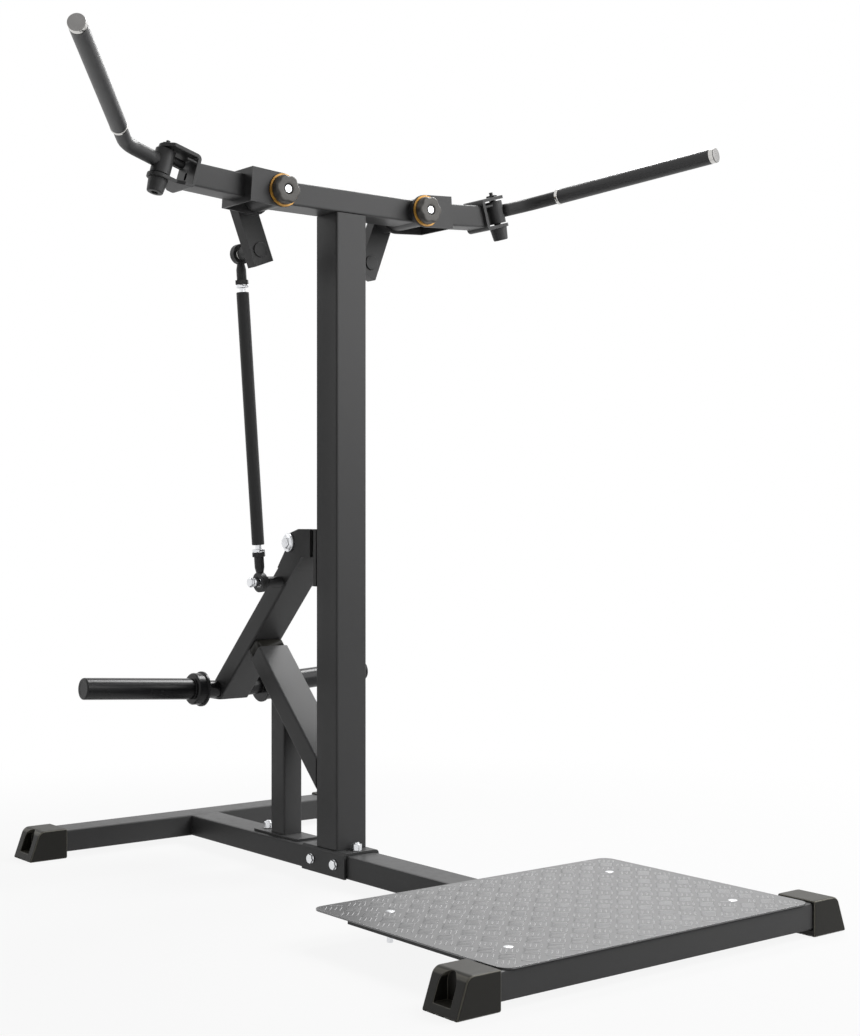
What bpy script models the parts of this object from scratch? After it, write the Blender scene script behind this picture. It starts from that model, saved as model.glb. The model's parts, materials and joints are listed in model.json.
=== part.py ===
"""Standing chest fly machine: plate-loaded, with two pivoting arms, pull rods and one weight lever.

Metres, +Z up, +Y to the rear, X across. The origin is on the floor, midway between the shoes.
Each side piece is modelled for the right (+X) side and mirrored for the left.
"""

import math

import bmesh
import bpy
from mathutils import Matrix, Vector

# Clearances
GAP = 0.0003
BORE_GAP = 0.0003
HOLE_GAP = 0.0004
EMBED = 0.0015

# Square and rectangular tube
TUBE_WIDE = 0.080
TUBE_HIGH = 0.050
TUBE_WALL = 0.003
TUBE_CORNER = 0.005

# Base
BASE_Z = 0.0138
CROSS_Y = 0.7805
FRONT_SHOE_X = 0.482
REAR_SHOE_X = 0.467
RAIL_SPLIT_Y = 0.182

# Rubber shoes
SHOE_LONG = 0.094
SHOE_WALL = 0.005
SHOE_LIP = 0.005
SHOE_END = 0.042
SHOE_SLOPE = math.radians(20)
SHOE_ROUND = 0.015
RECESS_WIDE = 0.040
RECESS_LOW = 0.017
RECESS_TOP = 0.0655
RECESS_DEEP = 0.030
SOLE_GROOVE = 0.004
SOLE_GROOVE_DEEP = 0.003

# Platform
PLATE_WIDE = 0.760
PLATE_PAST_TUBE = 0.0428
PLATE_LONG = 0.549
PLATE_THICK = 0.004
PLATE_CORNER = 0.025
BAR_WIDE = 0.038
BAR_HIGH = 0.012
BAR_INSET = 0.017
PLATFORM_BOLT_X = 0.281
PLATFORM_BOLT_HEAD = 0.018
PLATFORM_BOLT_SHANK = 0.012
PLATFORM_BOLT_LONG = 0.0585
REAR_BAR_BACK = 0.113
FRONT_BAR_BACK = 0.0225

# Column and saddle
COLUMN_Y = 0.1632
COLUMN_WIDE = 0.080
PIVOT_Z = 1.479
SADDLE_THICK = 0.006
SADDLE_FRONT_Y = 0.0867
SADDLE_LONG = 0.163
SADDLE_BOLT_Y = (0.1244, 0.2113)
SADDLE_BOLT_Z = 0.041
FOOT_BOLT_Y = 0.1047
BOLT_SHANK = 0.012
BOLT_HEAD_AF = 0.019
BOLT_HEAD_HIGH = 0.0055
LOCK_HEAD_HIGH = 0.0125
BOLT_TAIL = 0.003
WASHER_WIDE = 0.022
WASHER_THICK = 0.0016
FOOT_BOLT_LONG = 0.020

# Stop brace, its post and the bumper
BRACE_ANGLE = math.radians(45)
BRACE_START_Z = 0.2283
BRACE_LONG = 0.352
BRACE_CAP = 0.005
BUMPER_WIDE = 0.074
BUMPER_HIGH = 0.044
BUMPER_EDGE = 0.005
BUMPER_CORNER = 0.008
POST_WIDE = 0.050
POST_DEEP = 0.056
POST_Y = 0.3807
POST_PLATE_WIDE = 0.060
POST_PLATE_LONG = 0.180
POST_PLATE_THICK = 0.005
POST_BOLT_Y = 0.4557

# Arms, measured from the pivot, outward along the arm
ARM_PIVOT_X = 0.190
ARM_TILT = math.radians(4)
BARREL_RADIUS = 0.031
BARREL_LONG = 0.101
HOUSING_WIDE = 0.115
HOUSING_HIGH = 0.072
HOUSING_PLATE = 0.005
HOUSING_OUT = 0.078
HOUSING_TOP_FROM = 0.022
ARM_TUBE_WIDE = 0.060
AXLE_RADIUS = 0.0125
AXLE_BOLT_RADIUS = 0.006
RING_RADIUS = 0.0345
RING_THICK = 0.0035
KNOB_RADIUS = 0.03075
KNOB_THICK = 0.018
KNOB_LOBES = 6
KNOB_POINTS = 24
KNOB_LOBE_DEEP = 0.0016
KNOB_BORE = 0.0105
KNOB_FLOOR = 0.007

# Drive levers behind the arms
LEVER_ANGLE = math.radians(21)
LEVER_WIDE = 0.050
LEVER_DEEP = 0.030
LEVER_LONG = 0.141
LEVER_PIN_AT = 0.109
BOSS_RADIUS = 0.030
BOSS_LONG = 0.0355
PIN_RADIUS = 0.008
PIN_CAP_RADIUS = 0.0165
PIN_CAP_THICK = 0.003
SPACER_RADIUS = 0.0155
SPACER_LONG = 0.0405
PIN_NUT_AF = 0.024
PIN_NUT_LONG = 0.010

# Pull rods, measured from the ball of the upper rod end
BALL_RADIUS = 0.016
BALL_WIDE = 0.021
EYE_RADIUS = 0.0225
EYE_WIDE = 0.015
ROD_NECK_RADIUS = 0.011
ROD_FLANGE_AF = 0.027
ROD_FLANGE_LONG = 0.008
ROD_NECK_LONG = 0.059
ROD_STUD_RADIUS = 0.007
ROD_STUD_SHOW = 0.017
ROD_TUBE_RADIUS = 0.0140
LOCK_NUT_AF = 0.027
LOCK_NUT_LONG = 0.007
LOWER_EYE_BORE = 0.0128
LOWER_EYE_WIDE = 0.013

# Weight lever
LEVER_PIVOT_Y = 0.3087
LEVER_PIVOT_Z = 0.736
WEIGHT_OFFSET_TOP = 0.0057
WEIGHT_START = 0.034
WEIGHT_END_Z = 0.358
CHEEK_THICK = 0.008
HEAD_FRONT = 0.082
HEAD_TOP = 0.0305
HEAD_BOTTOM = 0.032
HEAD_FLAT = 0.0355
HEAD_ROUND = 0.021
LUG_RADIUS = 0.022
LUG_GAP = 0.0005
BRACKET_PLATE = 0.0097
BRACKET_LOW = 0.096
PIVOT_BOLT_RADIUS = 0.0125
PIVOT_WASHER_RADIUS = 0.021
PIVOT_WASHER_THICK = 0.005
PIVOT_HEAD_AF = 0.024
PIVOT_HEAD_LONG = 0.0075

# Lower rod pivots and plate horns on the weight lever
ROD_LOW_X = 0.095
ROD_LOW_Y = 0.3422
ROD_LOW_Z = 0.647
STUD_BOSS_RADIUS = 0.0125
STUD_BOSS_OUT = 0.080
STUD_RADIUS = 0.006
STUD_HEAD_OUT = 0.125
HORN_Y = 0.6212
HORN_Z = 0.380
HORN_RISE = math.radians(3.5)
HORN_RADIUS = 0.025
HORN_OUT = 0.393
HORN_STUB_RADIUS = 0.0205
HORN_FLANGE_RADIUS = 0.0415
HORN_FLANGE_FROM = 0.080
HORN_FLANGE_THICK = 0.006
HORN_COLLAR_RADIUS = 0.0375
HORN_COLLAR_TO = 0.110
HORN_EDGE = 0.003

# Swivels at the arm ends, measured from where the handle tube crosses the swivel axis
SWIVEL_X = 0.4446
SWIVEL_RISE = 0.0337
SWIVEL_LEAN = math.radians(16.5)
SWIVEL_BARREL_RADIUS = 0.021
SWIVEL_BARREL_HALF = 0.0262
SWIVEL_END_GAP = 0.0028
BRACKET_THICK = 0.0075
BRACKET_BEND = 0.003
BRACKET_WIDE = 0.075
BRACKET_WEB_AT = 0.0645
BRACKET_TOP_TIP = 0.016
BRACKET_TOP_SHOULDER = 0.002
BRACKET_LOW_TIP = 0.025
BRACKET_SHOULDER = (0.030, 0.0425)
SWIVEL_PIN_RADIUS = 0.008
SWIVEL_STUD_RADIUS = 0.0045
SWIVEL_STUD_SHOW = 0.007
SWIVEL_NUT_AF = 0.022
SWIVEL_NUT_HIGH = 0.004
SWIVEL_CAP_RADIUS = 0.0205
SWIVEL_CAP_TIP_RADIUS = 0.017
SWIVEL_CAP_HIGH = 0.029
SOCKET_AF = 0.014
SOCKET_DEEP = 0.010
LUG_REACH = 0.047
LUG_WIDE = 0.018
LUG_AT = 0.0145
STOP_RADIUS = 0.003
STOP_LONG = 0.023
STOP_AT = 0.018
STOP_TURN = math.radians(28)

# Handles, along the tube from the swivel axis
HANDLE_RADIUS = 0.015
HANDLE_WALL = 0.0025
HANDLE_OUT = 0.090
HANDLE_BEND = math.radians(46.8)
HANDLE_BEND_RADIUS = 0.055
HANDLE_ROLL = math.radians(2.5)
HANDLE_TURN = {-1: math.radians(3.3), 1: math.radians(25.5)}
RING_AT = 0.0751
GRIP_RING_RADIUS = 0.018
GRIP_RING_LONG = 0.007
GRIP_RADIUS = 0.017
GRIP_END_AT = 0.4848
END_CAP_RADIUS = 0.0175
END_CAP_LONG = 0.013
END_PLUG_LONG = 0.010

SIDES = (("left", -1), ("right", 1))
ROUND = 20
SMALL_ROUND = 12
TUBE_STEPS = 14
HEX_TURN = 10

# Heights and places that follow from the sizes above
BASE_TOP = BASE_Z + TUBE_HIGH
BASE_MID = BASE_Z + TUBE_HIGH / 2
COLUMN_FOOT = BASE_TOP + SADDLE_THICK
COLUMN_REAR = COLUMN_Y + COLUMN_WIDE / 2
CROSSBAR_LOW = PIVOT_Z - TUBE_HIGH / 2
ARM_FRONT_Y = COLUMN_Y - HOUSING_WIDE / 2
ARM_REAR_Y = COLUMN_Y + HOUSING_WIDE / 2
PLATE_FRONT_Y = -CROSS_Y - PLATE_PAST_TUBE
PLATE_REAR_Y = PLATE_FRONT_Y + PLATE_LONG
FRONT_BAR_Y = -CROSS_Y + TUBE_WIDE / 2 + FRONT_BAR_BACK
REAR_BAR_Y = PLATE_REAR_Y - REAR_BAR_BACK
PLATFORM_BOLT_Y = (REAR_BAR_Y, FRONT_BAR_Y)
SWIVEL_Z = PIVOT_Z + SWIVEL_RISE
UP_REAR = Vector((0, math.cos(BRACE_ANGLE), math.sin(BRACE_ANGLE)))


def clear_scene():
    for obj in list(bpy.data.objects):
        bpy.data.objects.remove(obj, do_unlink=True)


def finish(name, colour, roughness, metallic):
    """One Principled finish, made once and shared."""
    found = bpy.data.materials.get(name)
    if found:
        return found
    made = bpy.data.materials.new(name)
    made.use_nodes = True
    shader = made.node_tree.nodes["Principled BSDF"]
    shader.inputs["Base Color"].default_value = (*colour, 1)
    shader.inputs["Roughness"].default_value = roughness
    shader.inputs["Metallic"].default_value = metallic
    return made


def charcoal():
    return finish("charcoal powder coat", (0.055, 0.056, 0.058), 0.5, 0.0)


def rubber():
    return finish("shoe rubber", (0.045, 0.043, 0.038), 0.75, 0.0)


def zinc():
    return finish("zinc plate", (0.72, 0.73, 0.75), 0.3, 1.0)


def chrome():
    return finish("chrome", (0.85, 0.85, 0.86), 0.12, 1.0)


def gloss_black():
    return finish("gloss black", (0.012, 0.012, 0.013), 0.15, 0.0)


def grip_black():
    return finish("grip rubber", (0.03, 0.03, 0.032), 0.6, 0.0)


def steel_tread():
    return finish("tread steel", (0.30, 0.30, 0.31), 0.5, 0.6)


def orange():
    return finish("orange plastic", (0.75, 0.32, 0.03), 0.4, 0.0)


def knob_plastic():
    return finish("knob plastic", (0.05, 0.047, 0.042), 0.45, 0.0)


def empty(name, place, turn=None, parent=None):
    """A joint marker: its children are modelled in its frame."""
    made = bpy.data.objects.new(name, None)
    bpy.context.scene.collection.objects.link(made)
    made.parent = parent
    made.matrix_basis = Matrix.Translation(place) @ (turn or Matrix.Identity(4))
    return made


def link(name, mesh_body, look, parent=None, side=1):
    """An object from a bmesh, mirrored across X for the left side."""
    if side < 0:
        bmesh.ops.transform(mesh_body, matrix=Matrix.Scale(-1, 4, (1, 0, 0)), verts=mesh_body.verts)
    bmesh.ops.recalc_face_normals(mesh_body, faces=mesh_body.faces)
    mesh = bpy.data.meshes.new(name)
    mesh_body.to_mesh(mesh)
    mesh_body.free()
    if look:
        mesh.materials.append(look)
    mesh.shade_smooth()
    mesh.set_sharp_from_angle(angle=math.radians(35))
    made = bpy.data.objects.new(name, mesh)
    bpy.context.scene.collection.objects.link(made)
    made.parent = parent
    return made


def helper(name, mesh_body, parent=None, side=1):
    """A shape that a Boolean joins or cuts with; it isn't a piece."""
    made = link(name, mesh_body, None, parent, side)
    made.hide_render = True
    made.display_type = "WIRE"
    return made


def boolean(target, other, operation):
    step = target.modifiers.new(operation.lower(), "BOOLEAN")
    step.operation = operation
    step.solver = "EXACT"
    step.object = other


def build(name, base, look, parent=None, side=1, joined=(), cuts=()):
    """A piece from its base shape, the shapes welded to it and the shapes cut out of it."""
    piece = link(name, base, look, parent, side)
    for number, shape in enumerate(joined):
        boolean(piece, helper(f"{name}_join_{number}", shape, parent, side), "UNION")
    for number, shape in enumerate(cuts):
        boolean(piece, helper(f"{name}_cut_{number}", shape, parent, side), "DIFFERENCE")
    return piece


def arc(centre_a, centre_b, radius, start, end, steps):
    """Points on an arc, in degrees."""
    turns = [math.radians(start + (end - start) * i / steps) for i in range(steps + 1)]
    return [(centre_a + radius * math.cos(t), centre_b + radius * math.sin(t)) for t in turns]


def rounded(wide, high, corner, steps=2):
    """A rectangle with round corners, centred."""
    a = wide / 2 - corner
    b = high / 2 - corner
    corners = ((a, b, 0), (-a, b, 90), (-a, -b, 180), (a, -b, 270))
    return [p for x, y, t in corners for p in arc(x, y, corner, t, t + 90, steps)]


def moved(outline, a, b):
    return [(x + a, y + b) for x, y in outline]


def circle(radius, steps=ROUND):
    return arc(0, 0, radius, 0, 360 * (steps - 1) / steps, steps - 1)


def hexagon(across_flats):
    radius = across_flats / math.sqrt(3)
    return arc(0, 0, radius, HEX_TURN, HEX_TURN + 300, 5)


def place(axis, a, b, along):
    """A point from its two outline values and its place along the axis."""
    if axis == "x":
        return Vector((along, a, b))
    if axis == "y":
        return Vector((a, along, b))
    return Vector((a, b, along))


def prism(outline, start, end, axis="z", body=None):
    """A solid bar of this outline along an axis."""
    body = body or bmesh.new()
    low = [body.verts.new(place(axis, a, b, start)) for a, b in outline]
    face = body.faces.new(low)
    grown = bmesh.ops.extrude_face_region(body, geom=[face])
    top = [v for v in grown["geom"] if isinstance(v, bmesh.types.BMVert)]
    bmesh.ops.translate(body, verts=top, vec=place(axis, 0, 0, end - start))
    return body


def box(low, high):
    """A block between two corners."""
    outline = [(low[0], low[1]), (high[0], low[1]), (high[0], high[1]), (low[0], high[1])]
    return prism(outline, low[2], high[2])


def bridge(body, first, second):
    count = len(first)
    for i in range(count):
        j = (i + 1) % count
        body.faces.new((first[i], first[j], second[j], second[i]))


def tube(wide, high, start, end, axis="z", centre=(0, 0), wall=TUBE_WALL, cap=0.0, slopes=(0, 0)):
    """A rectangular tube. slopes lean its two end faces with the second outline value; cap closes its far end."""
    body = bmesh.new()
    outer = moved(rounded(wide, high, TUBE_CORNER), *centre)
    inner_corner = TUBE_CORNER - wall if TUBE_CORNER > wall else wall / 4
    inner = moved(rounded(wide - 2 * wall, high - 2 * wall, inner_corner), *centre)

    def ring(outline, along, slope):
        points = [place(axis, a, b, along + slope * (b - centre[1])) for a, b in outline]
        return [body.verts.new(p) for p in points]

    outer_start = ring(outer, start, slopes[0])
    outer_end = ring(outer, end, slopes[1])
    inner_start = ring(inner, start, slopes[0])
    inner_end = ring(inner, end - cap, slopes[1])
    bridge(body, outer_start, outer_end)
    bridge(body, inner_start, inner_end)
    bridge(body, outer_start, inner_start)
    if cap:
        body.faces.new(outer_end)
        body.faces.new(inner_end)
    else:
        bridge(body, outer_end, inner_end)
    return body


def turned(profile, axis="z", centre=(0, 0), steps=ROUND, ring=False):
    """A turned piece. The profile lists (along, radius); a ring's profile closes on itself."""
    body = bmesh.new()
    unit = place(axis, 0, 0, 1)
    points = [place(axis, centre[0] + r, centre[1], along) for along, r in profile]
    verts = [body.verts.new(p) for p in points]
    edges = [body.edges.new(pair) for pair in zip(verts, verts[1:])]
    if ring:
        edges.append(body.edges.new((verts[-1], verts[0])))
    bmesh.ops.spin(
        body,
        geom=verts + edges,
        cent=place(axis, *centre, 0),
        axis=unit,
        angle=2 * math.pi,
        steps=steps,
        use_merge=True,
    )
    bmesh.ops.remove_doubles(body, verts=body.verts, dist=1e-6)
    return body


def rod(radius, start, end, axis="z", centre=(0, 0), steps=ROUND):
    """A plain round bar."""
    return prism(moved(circle(radius, steps), *centre), start, end, axis)


def base_frames():
    """The two welded floor frames, front and rear, which meet under the column."""
    for name, sign, shoe_x in (("front", -1, FRONT_SHOE_X), ("rear", 1, REAR_SHOE_X)):
        cross_y = sign * CROSS_Y
        inner_end = cross_y - sign * (TUBE_WIDE / 2 - EMBED)
        split = RAIL_SPLIT_Y + sign * GAP / 2
        rail = tube(TUBE_WIDE, TUBE_HIGH, inner_end, split, "y", (0, BASE_MID))
        reach = shoe_x - SHOE_END
        joined = [tube(TUBE_WIDE, TUBE_HIGH, -reach, reach, "x", (cross_y, BASE_MID))]
        holes = []
        if name == "front":
            joined += [platform_bars(side) for side in (-1, 1)]
            for x in (-PLATFORM_BOLT_X, PLATFORM_BOLT_X):
                for y in PLATFORM_BOLT_Y:
                    radius = PLATFORM_BOLT_SHANK / 2 + HOLE_GAP
                    holes.append(rod(radius, BASE_TOP - 2 * BAR_HIGH, BASE_TOP + BAR_HIGH, "z", (x, y), SMALL_ROUND))
            down_y = FOOT_BOLT_Y
            through_y = SADDLE_BOLT_Y[0]
        else:
            down_y = POST_BOLT_Y
            through_y = SADDLE_BOLT_Y[1]
        radius = BOLT_SHANK / 2 + HOLE_GAP
        holes.append(rod(radius, -TUBE_WIDE, TUBE_WIDE, "x", (through_y, SADDLE_BOLT_Z), SMALL_ROUND))
        holes.append(rod(radius, BASE_MID, BASE_TOP + TUBE_WALL, "z", (0, down_y), SMALL_ROUND))
        build(f"{name}_base_frame", rail, charcoal(), joined=joined, cuts=holes)


def platform_bars(side):
    """The flat-bar frame under one half of the platform, welded to the rail and the front tube."""
    inner = TUBE_WIDE / 2 - EMBED
    outer = PLATE_WIDE / 2 - BAR_INSET
    front = -CROSS_Y + TUBE_WIDE / 2 - EMBED
    rear = REAR_BAR_Y + BAR_WIDE / 2
    outline = [
        (inner, front),
        (outer, front),
        (outer, rear),
        (inner, rear),
        (inner, rear - BAR_WIDE),
        (outer - BAR_WIDE, rear - BAR_WIDE),
        (outer - BAR_WIDE, front + BAR_WIDE + EMBED),
        (inner, front + BAR_WIDE + EMBED),
    ]
    return prism([(side * x, y) for x, y in outline], BASE_TOP - BAR_HIGH, BASE_TOP)


def shoe(name, sign_x, sign_y, shoe_x):
    """A moulded rubber shoe that sleeves over a cross tube's end, with an arched recess in its sloping end."""
    wide = TUBE_WIDE + 2 * SHOE_LIP + GAP * 2
    top = BASE_TOP + SHOE_WALL
    inner = shoe_x - SHOE_LONG
    top_out = shoe_x - top * math.tan(SHOE_SLOPE)
    turn = math.degrees(SHOE_SLOPE)
    set_back = SHOE_ROUND * math.tan((math.pi / 2 - SHOE_SLOPE) / 2)
    round_x = top_out - set_back
    profile = [(inner, 0), (shoe_x, 0)]
    profile += arc(round_x, top - SHOE_ROUND, SHOE_ROUND, turn, 90, 4)
    profile += [(inner, top)]
    outline = [(x, z) for x, z in profile]
    centre_y = sign_y * CROSS_Y
    base = prism(outline, centre_y - wide / 2, centre_y + wide / 2, "y")
    bore_wide = TUBE_WIDE + 2 * GAP
    bore_high = TUBE_HIGH + 2 * GAP
    bore = prism(
        moved(rounded(bore_wide, bore_high, TUBE_CORNER), centre_y, BASE_MID),
        inner - SHOE_LONG,
        shoe_x - SHOE_END + GAP,
        "x",
    )
    arch_top = RECESS_TOP - RECESS_WIDE / 2
    arch = [(RECESS_WIDE / 2, RECESS_LOW)] + arc(0, arch_top, RECESS_WIDE / 2, 0, 180, 8) + [(-RECESS_WIDE / 2, RECESS_LOW)]
    recess = prism(moved(arch, centre_y, 0), shoe_x - RECESS_DEEP - RECESS_LOW * math.tan(SHOE_SLOPE), shoe_x + SHOE_END, "x")
    grooves = []
    for across in (-0.375, -0.125, 0.125, 0.375):
        middle = centre_y + across * wide
        grooves.append(
            prism(
                [
                    (middle - SOLE_GROOVE / 2, -SOLE_GROOVE_DEEP),
                    (middle + SOLE_GROOVE / 2, -SOLE_GROOVE_DEEP),
                    (middle + SOLE_GROOVE / 2, SOLE_GROOVE_DEEP),
                    (middle - SOLE_GROOVE / 2, SOLE_GROOVE_DEEP),
                ],
                shoe_x - SHOE_LONG - SOLE_GROOVE,
                shoe_x + SOLE_GROOVE,
                "x",
            )
        )
    build(name, base, rubber(), side=sign_x, cuts=[bore, recess] + grooves)


def shoes():
    for side_name, sign_x in SIDES:
        shoe(f"front_shoe_{side_name}", sign_x, -1, FRONT_SHOE_X)
        shoe(f"rear_shoe_{side_name}", sign_x, 1, REAR_SHOE_X)


def platform():
    """The tread plate and its four countersunk bolts."""
    low = BASE_TOP + GAP
    top = low + PLATE_THICK
    head = PLATFORM_BOLT_HEAD / 2
    shank = PLATFORM_BOLT_SHANK / 2
    middle = PLATE_FRONT_Y + PLATE_LONG / 2
    plate = prism(moved(rounded(PLATE_WIDE, PLATE_LONG, PLATE_CORNER, 6), 0, middle), low, top)
    rim = head - shank
    holes = []
    for x in (-PLATFORM_BOLT_X, PLATFORM_BOLT_X):
        for y in PLATFORM_BOLT_Y:
            sink = [
                (low - PLATE_THICK, 0),
                (low - PLATE_THICK, shank + HOLE_GAP),
                (top - rim, shank + HOLE_GAP),
                (top, head + HOLE_GAP),
                (top + PLATE_THICK, head + HOLE_GAP),
                (top + PLATE_THICK, 0),
            ]
            holes.append(turned(sink, "z", (x, y), SMALL_ROUND))
    build("tread_plate", plate, steel_tread(), cuts=holes)
    for side_name, sign in SIDES:
        for place_name, y in zip(("rear", "front"), PLATFORM_BOLT_Y):
            profile = [
                (top - PLATFORM_BOLT_LONG, 0),
                (top - PLATFORM_BOLT_LONG, shank),
                (top - rim, shank),
                (top, head),
                (top, 0),
            ]
            body = turned(profile, "z", (PLATFORM_BOLT_X, y), SMALL_ROUND)
            build(f"platform_bolt_{place_name}_{side_name}", body, zinc(), side=sign)


def column():
    body = tube(COLUMN_WIDE, COLUMN_WIDE, COLUMN_FOOT + GAP, CROSSBAR_LOW - GAP, "z", (0, COLUMN_Y))
    build("column", body, charcoal())


def column_saddle():
    """The inverted-U plate that clasps both rails under the column."""
    inner = TUBE_WIDE / 2 + GAP
    outer = inner + SADDLE_THICK
    roof = BASE_TOP + GAP
    top = COLUMN_FOOT
    bend = SADDLE_THICK + 0.002
    outline = [(-outer, BASE_Z)]
    outline += reversed(arc(-outer + bend, top - bend, bend, 90, 180, 3))
    outline += reversed(arc(outer - bend, top - bend, bend, 0, 90, 3))
    outline += [(outer, BASE_Z), (inner, BASE_Z), (inner, roof), (-inner, roof), (-inner, BASE_Z)]
    body = prism(outline, SADDLE_FRONT_Y, SADDLE_FRONT_Y + SADDLE_LONG, "y")
    radius = BOLT_SHANK / 2 + HOLE_GAP
    cuts = [rod(radius, -TUBE_WIDE, TUBE_WIDE, "x", (y, SADDLE_BOLT_Z), SMALL_ROUND) for y in SADDLE_BOLT_Y]
    cuts.append(rod(radius, BASE_MID, COLUMN_FOOT + TUBE_WALL, "z", (0, FOOT_BOLT_Y), SMALL_ROUND))
    build("column_saddle", body, charcoal(), cuts=cuts)


def saddle_bolts():
    """Through bolts across the saddle: washer and head on the left, washer and nut on the right."""
    face = TUBE_WIDE / 2 + GAP + SADDLE_THICK + GAP
    for name, y in zip(("front", "rear"), SADDLE_BOLT_Y):
        centre = (y, SADDLE_BOLT_Z)
        end = face + WASHER_THICK
        profile = [
            (-end, 0),
            (-end, WASHER_WIDE / 2),
            (-face, WASHER_WIDE / 2),
            (-face, BOLT_SHANK / 2),
            (face, BOLT_SHANK / 2),
            (face, WASHER_WIDE / 2),
            (end, WASHER_WIDE / 2),
            (end, 0),
        ]
        body = turned(profile, "x", centre, SMALL_ROUND)
        head = prism(moved(hexagon(BOLT_HEAD_AF), *centre), -end - BOLT_HEAD_HIGH, -end + EMBED, "x")
        nut = prism(moved(hexagon(BOLT_HEAD_AF), *centre), end - EMBED, end + BOLT_HEAD_HIGH, "x")
        tail = rod(BOLT_SHANK / 2 - GAP, end - 2 * EMBED, end + BOLT_HEAD_HIGH + BOLT_TAIL, "x", centre, SMALL_ROUND)
        build(f"saddle_bolt_{name}", body, zinc(), joined=[head, nut, tail])


def down_bolt(name, y, seat):
    """A short vertical stud screwed down into a rail, with its washer and nut."""
    profile = [
        (seat - FOOT_BOLT_LONG, 0),
        (seat - FOOT_BOLT_LONG, BOLT_SHANK / 2),
        (seat, BOLT_SHANK / 2),
        (seat, WASHER_WIDE / 2),
        (seat + WASHER_THICK, WASHER_WIDE / 2),
        (seat + WASHER_THICK, 0),
    ]
    body = turned(profile, "z", (0, y), SMALL_ROUND)
    under = seat + WASHER_THICK
    head = prism(moved(hexagon(BOLT_HEAD_AF), 0, y), under - EMBED, under + LOCK_HEAD_HIGH)
    tail_top = under + LOCK_HEAD_HIGH + BOLT_TAIL
    tail = rod(BOLT_SHANK / 2 - GAP, under + 2 * EMBED, tail_top, "z", (0, y), SMALL_ROUND)
    build(name, body, zinc(), joined=[head, tail])


def crossbar():
    """The crossbar with a bearing barrel welded across each end."""
    reach = ARM_PIVOT_X - BARREL_RADIUS / 2
    body = tube(TUBE_WIDE, TUBE_HIGH, -reach, reach, "x", (COLUMN_Y, PIVOT_Z))
    low = COLUMN_Y - BARREL_LONG / 2
    high = COLUMN_Y + BARREL_LONG / 2
    barrels = [rod(BARREL_RADIUS, low, high, "y", (s * ARM_PIVOT_X, PIVOT_Z)) for s in (-1, 1)]
    bore = AXLE_RADIUS + BORE_GAP
    cuts = [rod(bore, low - HOUSING_PLATE, high + HOUSING_PLATE, "y", (s * ARM_PIVOT_X, PIVOT_Z)) for s in (-1, 1)]
    weld_hole = TUBE_WIDE / 4
    cuts.append(rod(weld_hole, CROSSBAR_LOW - TUBE_WALL, PIVOT_Z, "z", (0, COLUMN_Y)))
    build("crossbar", body, charcoal(), joined=barrels, cuts=cuts)


def brace_frame():
    """The frame of the stop brace: local z runs up and to the rear along it, local y across its depth."""
    turn = Matrix.Rotation(-(math.pi / 2 - BRACE_ANGLE), 4, "X")
    return empty("brace_line", (0, COLUMN_REAR + GAP, BRACE_START_Z), turn)


def stop_brace():
    frame = brace_frame()
    slope = -math.tan(BRACE_ANGLE)
    body = tube(TUBE_WIDE, TUBE_HIGH, 0, BRACE_LONG, "z", cap=BRACE_CAP, slopes=(slope, 0))
    build("stop_brace", body, charcoal(), frame)
    lever_face = lever_front_face()
    end = Vector((0, COLUMN_REAR + GAP, BRACE_START_Z)) + BRACE_LONG * UP_REAR
    thick = (lever_face - (end.y + end.z)) / math.sqrt(2) - 2 * GAP
    pad = prism(rounded(BUMPER_WIDE, BUMPER_HIGH, BUMPER_CORNER), BRACE_LONG + GAP, BRACE_LONG + GAP + thick)
    rim = [e for e in pad.edges if all(abs(v.co.z - (BRACE_LONG + GAP + thick)) < 1e-6 for v in e.verts)]
    bmesh.ops.bevel(pad, geom=rim, offset=BUMPER_EDGE, segments=2, profile=0.5, affect="EDGES")
    build("bumper_pad", pad, rubber(), frame)


def brace_post():
    """The post under the brace with its foot plate; its top is cut to the brace's slope."""
    low = BASE_TOP + GAP
    plate_top = low + POST_PLATE_THICK
    under = BRACE_START_Z - (COLUMN_REAR + GAP) - TUBE_HIGH / math.sqrt(2)
    top = POST_Y + under - 2 * GAP
    body = tube(POST_WIDE, POST_DEEP, plate_top - EMBED, top, "z", (0, POST_Y), slopes=(0, 1))
    plate = box(
        (-POST_PLATE_WIDE / 2, POST_Y - POST_PLATE_LONG / 2, low),
        (POST_PLATE_WIDE / 2, POST_Y + POST_PLATE_LONG / 2, plate_top),
    )
    hole = rod(BOLT_SHANK / 2 + HOLE_GAP, low - TUBE_WALL, plate_top + TUBE_WALL, "z", (0, POST_BOLT_Y), SMALL_ROUND)
    build("brace_post", body, charcoal(), joined=[plate], cuts=[hole])


def lever_front_face():
    """y + z on the weight lever's front-low face, in world places."""
    pivot = LEVER_PIVOT_Y + LEVER_PIVOT_Z
    return pivot - (WEIGHT_OFFSET_TOP + TUBE_HIGH) * math.sqrt(2)


def lever_bracket():
    """The pivot bracket behind the column: a base plate and a lug that the lever's cheeks straddle."""
    front = COLUMN_REAR + GAP
    rear = front + BRACKET_PLATE
    half = TUBE_WIDE / 2
    plate = box((-half, front, LEVER_PIVOT_Z - BRACKET_LOW), (half, rear, LEVER_PIVOT_Z + HEAD_TOP))
    lug_half = half - CHEEK_THICK - LUG_GAP
    outline = [(rear - EMBED, LEVER_PIVOT_Z - LUG_RADIUS)]
    outline += arc(LEVER_PIVOT_Y, LEVER_PIVOT_Z, LUG_RADIUS, -90, 90, 12)
    outline += [(rear - EMBED, LEVER_PIVOT_Z + LUG_RADIUS)]
    lug = prism(outline, -lug_half, lug_half, "x")
    bore = rod(PIVOT_BOLT_RADIUS + BORE_GAP, -half, half, "x", (LEVER_PIVOT_Y, LEVER_PIVOT_Z))
    build("lever_bracket", plate, charcoal(), joined=[lug], cuts=[bore])


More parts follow.
